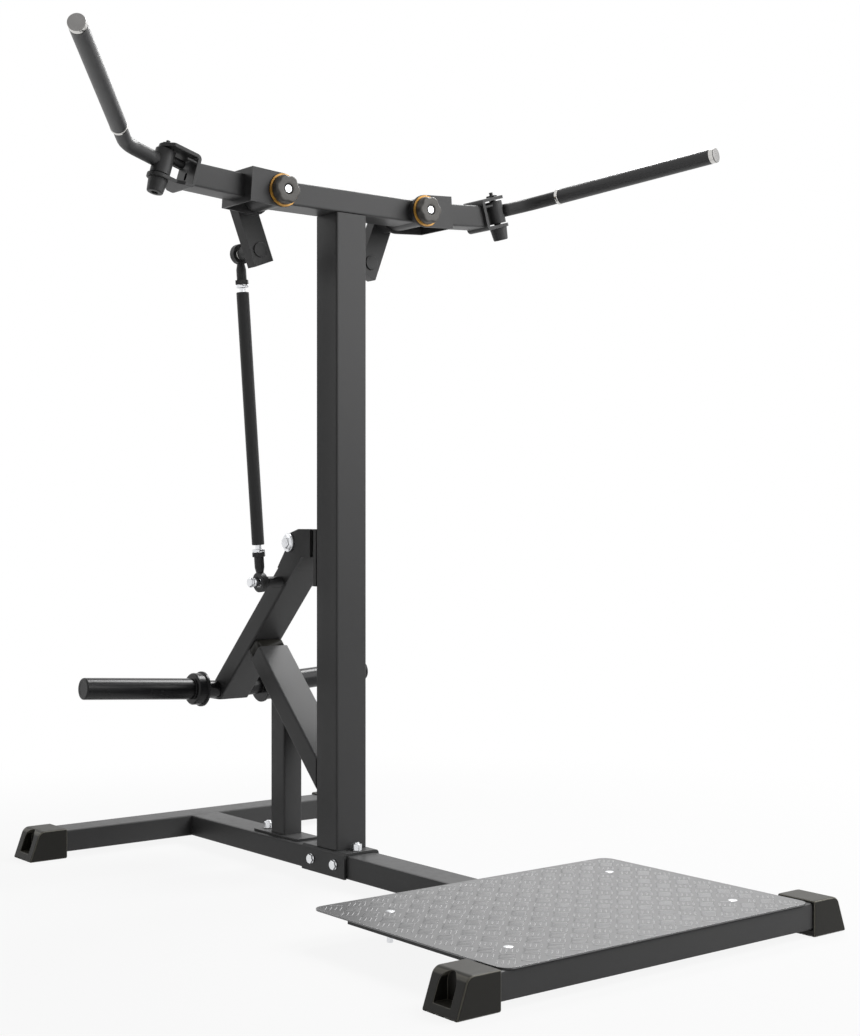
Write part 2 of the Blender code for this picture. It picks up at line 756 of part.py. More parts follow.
def weight_lever():
    """The lever that the rods lift, with its straddling head, rod bosses and the end that carries the horns."""
    pivot = empty("weight_lever_pivot", (0, LEVER_PIVOT_Y, LEVER_PIVOT_Z))
    half = TUBE_WIDE / 2
    middle = WEIGHT_OFFSET_TOP + TUBE_HIGH / 2
    drop = (LEVER_PIVOT_Z - WEIGHT_END_Z) * math.sqrt(2)
    body = tube(TUBE_WIDE, TUBE_HIGH, -drop + middle, -WEIGHT_START, "z", (0, middle), slopes=(1, 0))
    bmesh.ops.transform(body, matrix=Matrix.Rotation(math.pi, 4, "Z"), verts=body.verts)
    bmesh.ops.transform(body, matrix=Matrix.Rotation(math.pi / 4, 4, "X"), verts=body.verts)
    reach = (WEIGHT_START + TUBE_WIDE / 2) / math.sqrt(2)
    top_line = WEIGHT_OFFSET_TOP * math.sqrt(2)
    low_line = (WEIGHT_OFFSET_TOP + TUBE_HIGH) * math.sqrt(2)
    cheek = [
        (-HEAD_FRONT, -HEAD_BOTTOM),
        (HEAD_BOTTOM - low_line, -HEAD_BOTTOM),
        (reach - low_line / 2, -reach - low_line / 2),
        (reach - top_line / 2, -reach - top_line / 2),
    ]
    cheek += arc(0, 0, HEAD_ROUND, -45, 60, 7)
    cheek += [(-HEAD_FLAT, HEAD_TOP), (-HEAD_FRONT, HEAD_TOP)]
    cheeks = [prism(cheek, s * (half - CHEEK_THICK), s * half, "x") for s in (-1, 1)]
    stud = (ROD_LOW_Y - LEVER_PIVOT_Y, ROD_LOW_Z - LEVER_PIVOT_Z)
    boss = rod(STUD_BOSS_RADIUS, -STUD_BOSS_OUT, STUD_BOSS_OUT, "x", stud)
    cuts = [
        rod(PIVOT_BOLT_RADIUS + BORE_GAP, -TUBE_WIDE, TUBE_WIDE, "x"),
        rod(STUD_RADIUS + HOLE_GAP, -TUBE_WIDE - STUD_BOSS_OUT, TUBE_WIDE + STUD_BOSS_OUT, "x", stud, SMALL_ROUND),
    ]
    build("weight_lever", body, charcoal(), pivot, joined=cheeks + [boss], cuts=cuts)
    horns(pivot)
    rod_studs(pivot)
    lever_pivot_bolt(pivot)


def lever_pivot_bolt(pivot):
    """The lever's pivot bolt with a large washer and a hexagon at each end."""
    face = TUBE_WIDE / 2 + GAP
    end = face + PIVOT_WASHER_THICK
    profile = [
        (-end, 0),
        (-end, PIVOT_WASHER_RADIUS),
        (-face, PIVOT_WASHER_RADIUS),
        (-face, PIVOT_BOLT_RADIUS),
        (face, PIVOT_BOLT_RADIUS),
        (face, PIVOT_WASHER_RADIUS),
        (end, PIVOT_WASHER_RADIUS),
        (end, 0),
    ]
    body = turned(profile, "x")
    heads = [
        prism(hexagon(PIVOT_HEAD_AF), s * (end - EMBED), s * (end + PIVOT_HEAD_LONG), "x") for s in (-1, 1)
    ]
    build("lever_pivot_bolt", body, zinc(), pivot, joined=heads)


def rod_studs(pivot):
    """The bolts that the lower rod ends ride on."""
    centre = (ROD_LOW_Y - LEVER_PIVOT_Y, ROD_LOW_Z - LEVER_PIVOT_Z)
    under_head = STUD_HEAD_OUT - BOLT_HEAD_HIGH
    washer_from = under_head - WASHER_THICK
    for name, side in SIDES:
        profile = [
            (GAP * 2, 0),
            (GAP * 2, STUD_RADIUS),
            (washer_from, STUD_RADIUS),
            (washer_from, WASHER_WIDE / 2),
            (under_head, WASHER_WIDE / 2),
            (under_head, 0),
        ]
        body = turned(profile, "x", centre, SMALL_ROUND)
        head = prism(moved(hexagon(BOLT_HEAD_AF), *centre), under_head - EMBED, STUD_HEAD_OUT, "x")
        build(f"rod_stud_{name}", body, zinc(), pivot, side, joined=[head])


def horns(pivot):
    """The plate horns: stub, flange, collar and sleeve, turned in one and rising slightly outward."""
    local = Vector((0, HORN_Y - LEVER_PIVOT_Y, HORN_Z - LEVER_PIVOT_Z))
    face = TUBE_WIDE / 2 + GAP
    profile = [
        (face, 0),
        (face, HORN_STUB_RADIUS),
        (HORN_FLANGE_FROM, HORN_STUB_RADIUS),
        (HORN_FLANGE_FROM, HORN_FLANGE_RADIUS),
        (HORN_FLANGE_FROM + HORN_FLANGE_THICK, HORN_FLANGE_RADIUS),
        (HORN_FLANGE_FROM + HORN_FLANGE_THICK, HORN_COLLAR_RADIUS),
        (HORN_COLLAR_TO - HORN_EDGE, HORN_COLLAR_RADIUS),
        (HORN_COLLAR_TO, HORN_COLLAR_RADIUS - HORN_EDGE),
        (HORN_COLLAR_TO, HORN_RADIUS),
        (HORN_OUT - HORN_EDGE, HORN_RADIUS),
        (HORN_OUT, HORN_RADIUS - HORN_EDGE),
        (HORN_OUT, 0),
    ]
    rise = Matrix.Rotation(-HORN_RISE, 4, "Y")
    for name, side in SIDES:
        body = turned(profile, "x", steps=24)
        bmesh.ops.transform(body, matrix=rise, verts=body.verts)
        along = Vector((math.cos(HORN_RISE), 0, math.sin(HORN_RISE)))
        for vert in body.verts:
            if vert.co.dot(along) < face + EMBED:
                vert.co += along * (face - vert.co.x) / along.x
        bmesh.ops.translate(body, verts=body.verts, vec=local)
        build(f"plate_horn_{name}", body, gloss_black(), pivot, side)


def arm(name, side, frame):
    """The arm: a housing that straddles the crossbar's barrel, and the tube out to the swivel."""
    half = HOUSING_WIDE / 2
    high = HOUSING_HIGH / 2
    outline = arc(0, 0, high, 90, 270, 12) + [(HOUSING_OUT, -high), (HOUSING_OUT, high)]
    front = prism(outline, -half, -half + HOUSING_PLATE, "y")
    rear = prism(outline, half - HOUSING_PLATE, half, "y")
    wall = box((HOUSING_OUT - HOUSING_PLATE, -half + EMBED, -high), (HOUSING_OUT, half - EMBED, high))
    roof = box((HOUSING_TOP_FROM, -half + EMBED, high - HOUSING_PLATE), (HOUSING_OUT - EMBED, half - EMBED, high))
    mitre = math.tan(SWIVEL_LEAN - ARM_TILT)
    out = Vector((SWIVEL_X - ARM_PIVOT_X, SWIVEL_Z - PIVOT_Z))
    along = out.x * math.cos(ARM_TILT) + out.y * math.sin(ARM_TILT)
    offset = -out.x * math.sin(ARM_TILT) + out.y * math.cos(ARM_TILT)
    web = (BRACKET_WEB_AT + GAP) / math.cos(SWIVEL_LEAN - ARM_TILT)
    end = along - web + offset * mitre
    bar = tube(ARM_TUBE_WIDE, TUBE_HIGH, HOUSING_OUT - EMBED, end, "x", slopes=(0, -mitre))
    hole = rod(AXLE_RADIUS + BORE_GAP, -HOUSING_WIDE, HOUSING_WIDE, "y")
    build(f"arm_{name}", front, charcoal(), frame, side, joined=[rear, wall, roof, bar], cuts=[hole])


def pivot_parts(name, side, frame):
    """The axle with its front bolt head, the orange washer and the lobed knob."""
    plate = -HOUSING_WIDE / 2
    ring_back = plate - GAP
    ring_front = ring_back - RING_THICK
    knob_back = ring_front - GAP
    knob_front = knob_back - KNOB_THICK
    floor = knob_front + KNOB_FLOOR
    rear = HOUSING_WIDE / 2
    washer = AXLE_RADIUS + BORE_GAP
    ring_profile = [(ring_front, washer), (ring_back, washer), (ring_back, RING_RADIUS), (ring_front, RING_RADIUS)]
    build(f"pivot_washer_{name}", turned(ring_profile, "y", ring=True, steps=24), orange(), frame, side)
    axle = turned(
        [
            (floor - GAP, 0),
            (floor - GAP, AXLE_BOLT_RADIUS),
            (ring_front, AXLE_BOLT_RADIUS),
            (ring_front, AXLE_RADIUS),
            (rear, AXLE_RADIUS),
            (rear, 0),
        ],
        "y",
    )
    head = prism(hexagon(KNOB_BORE * 2 - 0.004), floor - GAP - BOLT_HEAD_HIGH / 2, floor - GAP + EMBED / 8, "y")
    build(f"pivot_axle_{name}", axle, zinc(), frame, side, joined=[head])
    points = []
    for i in range(KNOB_POINTS):
        turn = 2 * math.pi * i / KNOB_POINTS
        radius = KNOB_RADIUS - KNOB_LOBE_DEEP * (1 - math.cos(KNOB_LOBES * turn))
        points.append((radius * math.cos(turn), radius * math.sin(turn)))
    knob = prism(points, knob_back, knob_front, "y")
    rim = [e for e in knob.edges if all(abs(v.co.y - knob_front) < 1e-6 for v in e.verts)]
    bmesh.ops.bevel(knob, geom=rim, offset=0.004, segments=2, profile=0.5, affect="EDGES")
    cuts = [
        rod(KNOB_BORE, knob_front - EMBED, floor, "y"),
        rod(AXLE_BOLT_RADIUS + GAP, knob_front, knob_back + EMBED, "y"),
    ]
    build(f"knob_{name}", knob, knob_plastic(), frame, side, cuts=cuts)


def drive_lever(name, side, frame):
    """The short lever behind the arm, its welded boss and spacer, and the pin that carries the rod's ball."""
    hang = empty(f"drive_lever_line_{name}", (0, 0, 0), Matrix.Rotation(side * (ARM_TILT + LEVER_ANGLE), 4, "Y"), frame)
    near = HOUSING_WIDE / 2 + GAP
    front = near + BOSS_LONG
    back = front + LEVER_DEEP
    half = LEVER_WIDE / 2
    outline = [(half, -LEVER_LONG)] + arc(0, 0, half, 0, 180, 8) + [(-half, -LEVER_LONG)]
    bar = prism(outline, front, back, "y")
    boss = rod(BOSS_RADIUS, near, front + EMBED, "y")
    pin_centre = (0, -LEVER_PIN_AT)
    spacer = rod(SPACER_RADIUS, back - EMBED, back + SPACER_LONG, "y", pin_centre)
    hole = rod(PIN_RADIUS + BORE_GAP, front - BOSS_LONG, back + 2 * SPACER_LONG, "y", pin_centre)
    build(f"drive_lever_{name}", bar, charcoal(), hang, side, joined=[boss, spacer], cuts=[hole])
    ball_from = back + SPACER_LONG + GAP
    ball_to = ball_from + BALL_WIDE
    nut_from = ball_to + GAP
    profile = [
        (front - GAP - PIN_CAP_THICK, 0),
        (front - GAP - PIN_CAP_THICK, PIN_CAP_RADIUS),
        (front - GAP, PIN_CAP_RADIUS),
        (front - GAP, PIN_RADIUS),
        (nut_from + PIN_NUT_LONG + EMBED, PIN_RADIUS),
        (nut_from + PIN_NUT_LONG + EMBED, 0),
    ]
    pin = turned(profile, "y", pin_centre)
    nut = prism(moved(hexagon(PIN_NUT_AF), *pin_centre), nut_from, nut_from + PIN_NUT_LONG, "y")
    build(f"lever_pin_{name}", pin, zinc(), hang, side, joined=[nut])


def rod_ends(side):
    """World places of one rod's upper ball and lower eye."""
    swing = LEVER_ANGLE
    ball_y = COLUMN_Y + HOUSING_WIDE / 2 + GAP + BOSS_LONG + LEVER_DEEP + SPACER_LONG + GAP + BALL_WIDE / 2
    x = ARM_PIVOT_X - LEVER_PIN_AT * math.sin(swing)
    z = PIVOT_Z - LEVER_PIN_AT * math.cos(swing)
    upper = Vector((side * x, ball_y, z))
    lower = Vector((side * ROD_LOW_X, ROD_LOW_Y, ROD_LOW_Z))
    return upper, lower


def pull_rod(name, side):
    """The rod's ball, upper eye, tube with studs and lock nuts, and lower eye."""
    upper, lower = rod_ends(side)
    line = (lower - upper).normalized()
    about_y = math.atan2(-line.x, -line.z)
    about_x = math.asin(line.y)
    ball_axis = empty(f"rod_ball_axis_{name}", upper, Matrix.Rotation(about_y, 4, "Y"))
    axis = empty(f"rod_axis_{name}", (0, 0, 0), Matrix.Rotation(about_x, 4, "X"), ball_axis)
    long = (lower - upper).length
    half = BALL_WIDE / 2
    flat = math.sqrt(BALL_RADIUS**2 - half**2)
    reach = math.degrees(math.atan2(half, flat))
    shell = [(r, a) for a, r in arc(0, 0, BALL_RADIUS, -reach, reach, 6)]
    bore = PIN_RADIUS + BORE_GAP
    profile = [(-half, bore)] + shell + [(half, bore)]
    build(f"rod_ball_{name}", turned(profile, "y", ring=True), chrome(), ball_axis, side)

    seat = BALL_RADIUS + BORE_GAP
    eye_half = EYE_WIDE / 2
    eye_reach = math.degrees(math.asin(eye_half / seat))
    cup = [(r, a) for a, r in arc(0, 0, seat, -eye_reach, eye_reach, 6)]
    ring = cup + [(eye_half, EYE_RADIUS), (-eye_half, EYE_RADIUS)]
    neck_top = -(EYE_RADIUS - EMBED)
    flange = -ROD_NECK_LONG
    neck = turned(
        [(neck_top, 0), (neck_top, ROD_NECK_RADIUS * 0.75), (-0.034, ROD_NECK_RADIUS), (flange, ROD_NECK_RADIUS), (flange, 0)],
        "z",
        steps=SMALL_ROUND,
    )
    hexagonal = prism(hexagon(ROD_FLANGE_AF), flange + EMBED, flange - ROD_FLANGE_LONG)
    build(f"rod_end_upper_{name}", turned(ring, "y", ring=True), charcoal(), axis, side, joined=[neck, hexagonal])

    top = flange - ROD_FLANGE_LONG - GAP
    low = -long + ROD_NECK_LONG + ROD_FLANGE_LONG + GAP
    tube_top = top - ROD_STUD_SHOW
    tube_low = low + ROD_STUD_SHOW
    body = turned(
        [
            (low, 0),
            (low, ROD_STUD_RADIUS),
            (tube_low, ROD_STUD_RADIUS),
            (tube_low, ROD_TUBE_RADIUS),
            (tube_top, ROD_TUBE_RADIUS),
            (tube_top, ROD_STUD_RADIUS),
            (top, ROD_STUD_RADIUS),
            (top, 0),
        ],
        "z",
    )
    nuts = [
        prism(hexagon(LOCK_NUT_AF), top - GAP, top - GAP - LOCK_NUT_LONG),
        prism(hexagon(LOCK_NUT_AF), low + GAP, low + GAP + LOCK_NUT_LONG),
    ]
    build(f"rod_tube_{name}", body, charcoal(), axis, side, joined=nuts)

    eye = turned(
        [
            (-LOWER_EYE_WIDE / 2, LOWER_EYE_BORE),
            (LOWER_EYE_WIDE / 2, LOWER_EYE_BORE),
            (LOWER_EYE_WIDE / 2, EYE_RADIUS),
            (-LOWER_EYE_WIDE / 2, EYE_RADIUS),
        ],
        "x",
        (0, -long),
        ring=True,
    )
    eye_top = -long + EYE_RADIUS - EMBED
    flange_low = -long + ROD_NECK_LONG
    low_neck = turned(
        [
            (eye_top, 0),
            (eye_top, ROD_NECK_RADIUS * 0.75),
            (-long + 0.034, ROD_NECK_RADIUS),
            (flange_low, ROD_NECK_RADIUS),
            (flange_low, 0),
        ],
        "z",
        steps=SMALL_ROUND,
    )
    low_hexagon = prism(hexagon(ROD_FLANGE_AF), flange_low - EMBED, flange_low + ROD_FLANGE_LONG)
    build(f"rod_end_lower_{name}", eye, charcoal(), axis, side, joined=[low_neck, low_hexagon])


def shoulder_cut(sign, low, high):
    """What is trimmed from one side of the lower flange, so that it ends in a round of its own."""
    half = BRACKET_WIDE / 2
    over = half + BRACKET_THICK
    near, far = BRACKET_SHOULDER
    narrow = BRACKET_LOW_TIP
    outline = [(-far, over), (-far, half), (-near, narrow)]
    outline += [(x, y) for x, y in arc(0, 0, narrow, 90, 0, 6)]
    outline += [(narrow + BRACKET_THICK, 0), (narrow + BRACKET_THICK, over)]
    return prism([(x, sign * y) for x, y in outline], low, high)


def nose_cut(sign, low, high):
    """What is trimmed from one side of the upper flange, so that it narrows straight to a small nose."""
    half = BRACKET_WIDE / 2
    over = half + BRACKET_THICK
    shoulder = BRACKET_TOP_SHOULDER
    corner = math.atan2(half, shoulder)
    touch = math.degrees(corner - math.acos(BRACKET_TOP_TIP / math.hypot(half, shoulder)))
    outline = [(shoulder - BRACKET_BEND, over), (shoulder - BRACKET_BEND, half), (shoulder + EMBED, half - BRACKET_BEND)]
    outline += arc(0, 0, BRACKET_TOP_TIP, touch, 0, 3)
    outline += [(BRACKET_TOP_TIP + BRACKET_THICK, 0), (BRACKET_TOP_TIP + BRACKET_THICK, over)]
    return prism([(x, sign * y) for x, y in outline], low, high)


def swivel_bracket(name, side, frame):
    """A plate bent into a U that holds the swivel pin, with two stop studs on the inside of its web."""
    thick = BRACKET_THICK
    top = SWIVEL_BARREL_HALF + SWIVEL_END_GAP
    low = -top
    back = -BRACKET_WEB_AT
    bend_in = BRACKET_BEND
    bend_out = BRACKET_BEND + thick
    outline = [(BRACKET_TOP_TIP, top + thick)]
    outline += arc(back + bend_out, top + thick - bend_out, bend_out, 90, 180, 4)
    outline += arc(back + bend_out, low - thick + bend_out, bend_out, 180, 270, 4)
    outline += [(BRACKET_LOW_TIP, low - thick), (BRACKET_LOW_TIP, low)]
    outline += reversed(arc(back + bend_out, low + bend_in, bend_in, 180, 270, 2))
    outline += reversed(arc(back + bend_out, top - bend_in, bend_in, 90, 180, 2))
    outline += [(BRACKET_TOP_TIP, top)]
    half = BRACKET_WIDE / 2
    body = prism(outline, -half, half, "y")
    cuts = [nose_cut(sign, top - EMBED, top + 2 * thick) for sign in (-1, 1)]
    cuts += [shoulder_cut(sign, low - 2 * thick, low + EMBED) for sign in (-1, 1)]
    cuts += [
        rod(SWIVEL_PIN_RADIUS + BORE_GAP, low - 2 * thick, low + EMBED, steps=SMALL_ROUND),
        rod(SWIVEL_STUD_RADIUS + BORE_GAP, top - EMBED, top + 2 * thick, steps=SMALL_ROUND),
        prism(moved(rounded(0.009, 0.017, 0.0042), 0, -0.006), back - EMBED, back + 2 * thick, "x"),
    ]
    inner = back + thick
    aside = LUG_REACH * math.sin(STOP_TURN) + LUG_WIDE / 2 * math.cos(STOP_TURN) + STOP_RADIUS + GAP
    centres = [(sign * aside, STOP_AT) for sign in (-1, 1)]
    stops = [rod(STOP_RADIUS, inner - EMBED, inner + STOP_LONG, "x", centre, 10) for centre in centres]
    build(f"swivel_bracket_{name}", body, charcoal(), frame, side, joined=stops, cuts=cuts)


def swivel_pin(name, side, frame):
    """The swivel pin: socketed cap below the bracket, shaft through the barrel, stud and nut on top."""
    top = SWIVEL_BARREL_HALF + SWIVEL_END_GAP
    low = -top - BRACKET_THICK - GAP
    over = top + BRACKET_THICK + GAP
    cap_low = low - SWIVEL_CAP_HIGH
    edge = 0.002
    profile = [
        (cap_low, 0),
        (cap_low, SWIVEL_CAP_TIP_RADIUS - edge),
        (cap_low + edge, SWIVEL_CAP_TIP_RADIUS),
        (low, SWIVEL_CAP_RADIUS),
        (low, SWIVEL_PIN_RADIUS),
        (top - GAP, SWIVEL_PIN_RADIUS),
        (top - GAP, SWIVEL_STUD_RADIUS),
        (over + SWIVEL_NUT_HIGH + SWIVEL_STUD_SHOW, SWIVEL_STUD_RADIUS),
        (over + SWIVEL_NUT_HIGH + SWIVEL_STUD_SHOW, 0),
    ]
    nut = prism(hexagon(SWIVEL_NUT_AF), over, over + SWIVEL_NUT_HIGH)
    socket = prism(hexagon(SOCKET_AF), cap_low - EMBED, cap_low + SOCKET_DEEP)
    build(f"swivel_pin_{name}", turned(profile), charcoal(), frame, side, joined=[nut], cuts=[socket])


def handle_path():
    """Centre line of the handle tube in the swivel's plane, from the axis to the open end."""
    tangent = HANDLE_BEND_RADIUS * math.tan(HANDLE_BEND / 2)
    start = [(0.0, 0.0), (HANDLE_OUT - tangent, 0.0)]
    centre = (HANDLE_OUT - tangent, -HANDLE_BEND_RADIUS)
    steps = 6
    curve = []
    for i in range(1, steps + 1):
        turn = HANDLE_BEND * i / steps
        x = centre[0] + HANDLE_BEND_RADIUS * math.sin(turn)
        y = centre[1] + HANDLE_BEND_RADIUS * math.cos(turn)
        curve.append((x, y))
    return start, curve


def along_grip(distance):
    """A point on the straight grip line, at this distance from the corner of the bend."""
    return Vector((HANDLE_OUT + distance * math.cos(HANDLE_BEND), -distance * math.sin(HANDLE_BEND), 0))


def swept(points, radius, steps, body):
    """Rings along a path, joined into one skin; the two end rings come back."""
    rings = []
    count = len(points)
    for i, point in enumerate(points):
        before = points[max(i - 1, 0)]
        after = points[min(i + 1, count - 1)]
        direction = (after - before).normalized()
        across = Vector((0, 0, 1)).cross(direction).normalized()
        ring = []
        for k in range(steps):
            turn = 2 * math.pi * k / steps
            ring.append(body.verts.new(point + radius * (across * math.cos(turn) + Vector((0, 0, 1)) * math.sin(turn))))
        rings.append(ring)
    for first, second in zip(rings, rings[1:]):
        bridge(body, first, second)
    return rings[0], rings[-1]


def handle(name, side, frame):
    """The bent handle: barrel with its stop lug and the tube, then ring, grip and end cap."""
    start, curve = handle_path()
    end = along_grip(GRIP_END_AT - END_CAP_LONG - GAP)
    path = [Vector((x, y, 0)) for x, y in start + curve] + [end]
    bar = bmesh.new()
    roll = Matrix.Rotation(-HANDLE_ROLL, 4, "X")
    outer_low, outer_end = swept(path, HANDLE_RADIUS, TUBE_STEPS, bar)
    inner_path = [Vector((SWIVEL_BARREL_RADIUS + HANDLE_WALL, 0, 0))] + path[1:]
    inner_low, inner_end = swept(inner_path, HANDLE_RADIUS - HANDLE_WALL, TUBE_STEPS, bar)
    bar.faces.new(outer_low)
    bar.faces.new(inner_low)
    bridge(bar, outer_end, inner_end)
    bmesh.ops.transform(bar, matrix=roll, verts=bar.verts)
    half = SWIVEL_BARREL_HALF
    barrel = rod(SWIVEL_BARREL_RADIUS, -half, half)
    lug = rod(LUG_WIDE / 2, -LUG_REACH, -SWIVEL_PIN_RADIUS - EMBED, "x", (0, LUG_AT), 16)
    bore = rod(SWIVEL_PIN_RADIUS + BORE_GAP, -half - EMBED, half + EMBED, steps=SMALL_ROUND)
    build(f"handle_{name}", barrel, charcoal(), frame, side, joined=[bar, lug], cuts=[bore])

    line = Matrix.Rotation(-HANDLE_ROLL, 4, "X") @ Matrix.Rotation(-side * HANDLE_BEND, 4, "Z")
    corner = Vector((side * HANDLE_OUT, 0, 0))
    grip_line = empty(f"grip_line_{name}", corner, line, frame)
    inner = HANDLE_RADIUS + BORE_GAP
    ring_end = RING_AT + GRIP_RING_LONG
    ring = [(RING_AT, inner), (RING_AT, GRIP_RING_RADIUS), (ring_end, GRIP_RING_RADIUS), (ring_end, inner)]
    build(f"grip_ring_{name}", turned(ring, "x", ring=True), chrome(), grip_line, side)
    grip_from = ring_end + GAP
    grip_to = GRIP_END_AT - END_CAP_LONG - GAP
    edge = 0.001
    sleeve = [
        (grip_from, inner),
        (grip_from, GRIP_RADIUS - edge),
        (grip_from + edge, GRIP_RADIUS),
        (grip_to - edge, GRIP_RADIUS),
        (grip_to, GRIP_RADIUS - edge),
        (grip_to, inner),
    ]
    build(f"grip_{name}", turned(sleeve, "x", ring=True), grip_black(), grip_line, side)
    cap_from = GRIP_END_AT - END_CAP_LONG
    plug = HANDLE_RADIUS - HANDLE_WALL - 2 * BORE_GAP
    cap = [
        (cap_from - END_PLUG_LONG, 0),
        (cap_from - END_PLUG_LONG, plug),
        (cap_from, plug),
        (cap_from, END_CAP_RADIUS),
        (GRIP_END_AT - edge, END_CAP_RADIUS),
        (GRIP_END_AT, END_CAP_RADIUS - edge),
        (GRIP_END_AT, 0),
    ]
    build(f"end_cap_{name}", turned(cap, "x"), chrome(), grip_line, side)


def arms():
    for name, side in SIDES:
        pivot = empty(
            f"arm_pivot_{name}",
            (side * ARM_PIVOT_X, COLUMN_Y, PIVOT_Z),
            Matrix.Rotation(-side * ARM_TILT, 4, "Y"),
        )
        arm(name, side, pivot)
        pivot_parts(name, side, pivot)
        drive_lever(name, side, pivot)
        pull_rod(name, side)
        swivel = empty(
            f"swivel_axis_{name}",
            (side * SWIVEL_X, COLUMN_Y, SWIVEL_Z),
            Matrix.Rotation(-side * SWIVEL_LEAN, 4, "Y"),
        )
        swivel_bracket(name, side, swivel)
        swivel_pin(name, side, swivel)
        turned_out = empty(f"handle_axis_{name}", (0, 0, 0), Matrix.Rotation(-side * HANDLE_TURN[side], 4, "Z"), swivel)
        handle(name, side, turned_out)


def main():
    clear_scene()
    base_frames()
    shoes()
    platform()
    column()
    column_saddle()
    saddle_bolts()
    down_bolt("column_foot_bolt", FOOT_BOLT_Y, COLUMN_FOOT + GAP)
    down_bolt("post_foot_bolt", POST_BOLT_Y, BASE_TOP + GAP + POST_PLATE_THICK + GAP)
    crossbar()
    stop_brace()
    brace_post()
    lever_bracket()
    weight_lever()
    arms()


main()
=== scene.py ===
"""Looks of a plate-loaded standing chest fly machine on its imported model, as a Blender add-on."""

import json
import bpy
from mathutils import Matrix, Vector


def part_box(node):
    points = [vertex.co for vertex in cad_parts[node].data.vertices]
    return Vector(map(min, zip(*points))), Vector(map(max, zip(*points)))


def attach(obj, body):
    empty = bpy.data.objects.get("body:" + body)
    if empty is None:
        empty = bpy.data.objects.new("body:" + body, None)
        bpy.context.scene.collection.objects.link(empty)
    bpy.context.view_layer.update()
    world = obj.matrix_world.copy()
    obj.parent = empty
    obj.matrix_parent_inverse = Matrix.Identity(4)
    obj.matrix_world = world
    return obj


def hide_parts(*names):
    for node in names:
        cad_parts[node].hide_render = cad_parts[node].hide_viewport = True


bl_info = {
    "name": "Standing Chest Fly Machine",
    "version": (1, 0, 0),
    "blender": (4, 5, 0),
    "location": "View3D > Sidebar > Chest Fly",
    "description": "Paint, rubber and metal surfaces for the packed chest fly machine, and a studio",
    "category": "Add Mesh",
}

from math import asin, cos, hypot, pi, radians, sin, sqrt, tan

import bmesh
import bpy
from bpy.props import FloatProperty, FloatVectorProperty, IntProperty, PointerProperty
from mathutils import Matrix, Vector

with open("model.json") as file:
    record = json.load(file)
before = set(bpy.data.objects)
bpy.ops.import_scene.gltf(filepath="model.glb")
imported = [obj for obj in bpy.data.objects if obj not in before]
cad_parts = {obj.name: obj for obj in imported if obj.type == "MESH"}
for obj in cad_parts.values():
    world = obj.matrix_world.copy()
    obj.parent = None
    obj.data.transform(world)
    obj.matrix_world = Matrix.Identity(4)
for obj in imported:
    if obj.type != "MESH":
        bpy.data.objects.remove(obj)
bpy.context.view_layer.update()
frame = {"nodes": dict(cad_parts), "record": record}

RECORD = frame["record"]
NODES = frame["nodes"]
BODY_OF = {node: body for body, nodes in RECORD["behaviour"]["bodies"].items() for node in nodes}
SLOT_OF = {row["node"]: row["material_slot"] for row in RECORD["subparts"]}
SIDES = (("left", -1), ("right", 1))

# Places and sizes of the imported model, in metres and radians, for the right side where there are two.
CLOSE = 0.0003
TUBE_WIDE = 0.080
TUBE_HIGH = 0.050
RAIL_LOW = 0.0138
COLUMN_Y = 0.1632
PIVOT = Vector((0.190, COLUMN_Y, 1.479))
ARM_TILT = radians(4)
HOUSING_HALF = 0.0575
AXLE_RADIUS = 0.0125
RING_THICK = 0.0035
KNOB_RADIUS = 0.03075
KNOB_LONG = 0.018
DRIVE_REACH = 0.109
DRIVE_SWING = radians(21)
DRIVE_THICK = 0.030
BOSS_LONG = 0.0355
SPACER_LONG = 0.0405
LEVER_PIVOT = Vector((0, 0.3087, 0.736))
STUD_PLACE = Vector((0, 0.3422, 0.647))
STUD_END = 0.125
BALL_RADIUS = 0.016
BALL_HALF = 0.0105
ROD_RADIUS = 0.014
ROD_NECK_LONG = 0.059
HORN_PLACE = Vector((0, 0.6212, 0.380))
HORN_RISE = radians(3.5)
SWIVEL = Vector((0.4446, COLUMN_Y, 1.5127))
SWIVEL_LEAN = radians(16.5)
BARREL_HALF = 0.0262
HANDLE_TURN = {-1: radians(3.3), 1: radians(25.5)}
HANDLE_ROLL = radians(2.5)
HANDLE_BEND = radians(46.8)
HANDLE_OUT = 0.090
BEND_RADIUS = 0.055
GRIP_RING_FROM = 0.0751
GRIP_RING_END = GRIP_RING_FROM + 0.007
HANDLE_END = 0.4848
END_CAP_FROM = HANDLE_END - 0.013
PLATE_CORNER = 0.025
BARS_RISE = 0.0009
PLATFORM_BOLTS = [(x, y) for x in (-0.281, 0.281) for y in (-0.3873, -0.718)]
BOLT_RADIUS = 0.006
BOLT_FLATS = 0.019
BOLT_HEAD = 0.0055
WASHER_RADIUS = 0.011
WASHER_THICK = 0.0016

# The photo's camera. The lamps: name, which power, place, target, size, whether gloss shows it.
CAMERA_PLACE = (-2.1411, -2.8533, 0.78)
CAMERA_TURN = radians(-38.39)
CAMERA_LENS = 58.42
CAMERA_SENSOR = 36.0
CAMERA_SHIFT = 0.0048
LAMPS = (
    ("front_softbox", "key", (1.6, -1.9, 2.3), (0.0, 0.1, 1.1), 2.6, True),
    ("side_softbox", "side", (2.6, -1.6, 3.0), (0.0, 0.1, 1.0), 2.2, False),
    ("rear_softbox", "rear", (1.8, 0.9, 3.0), (0.0, 0.4, 0.6), 1.3, True),
    ("fill_softbox", "fill", (-2.8, 3.4, 2.6), (0.0, 0.2, 0.9), 2.6, True),
)
WHITE = (1.0, 1.0, 1.0, 1.0)


def arithmetic(operation, swapped=False):
    """A method that makes the node for one sign of arithmetic."""

    def method(self, other=0.0):
        first, second = (other, self) if swapped else (self, other)
        return self.look.node("ShaderNodeMath", {"operation": operation}, {0: first, 1: second})

    return method


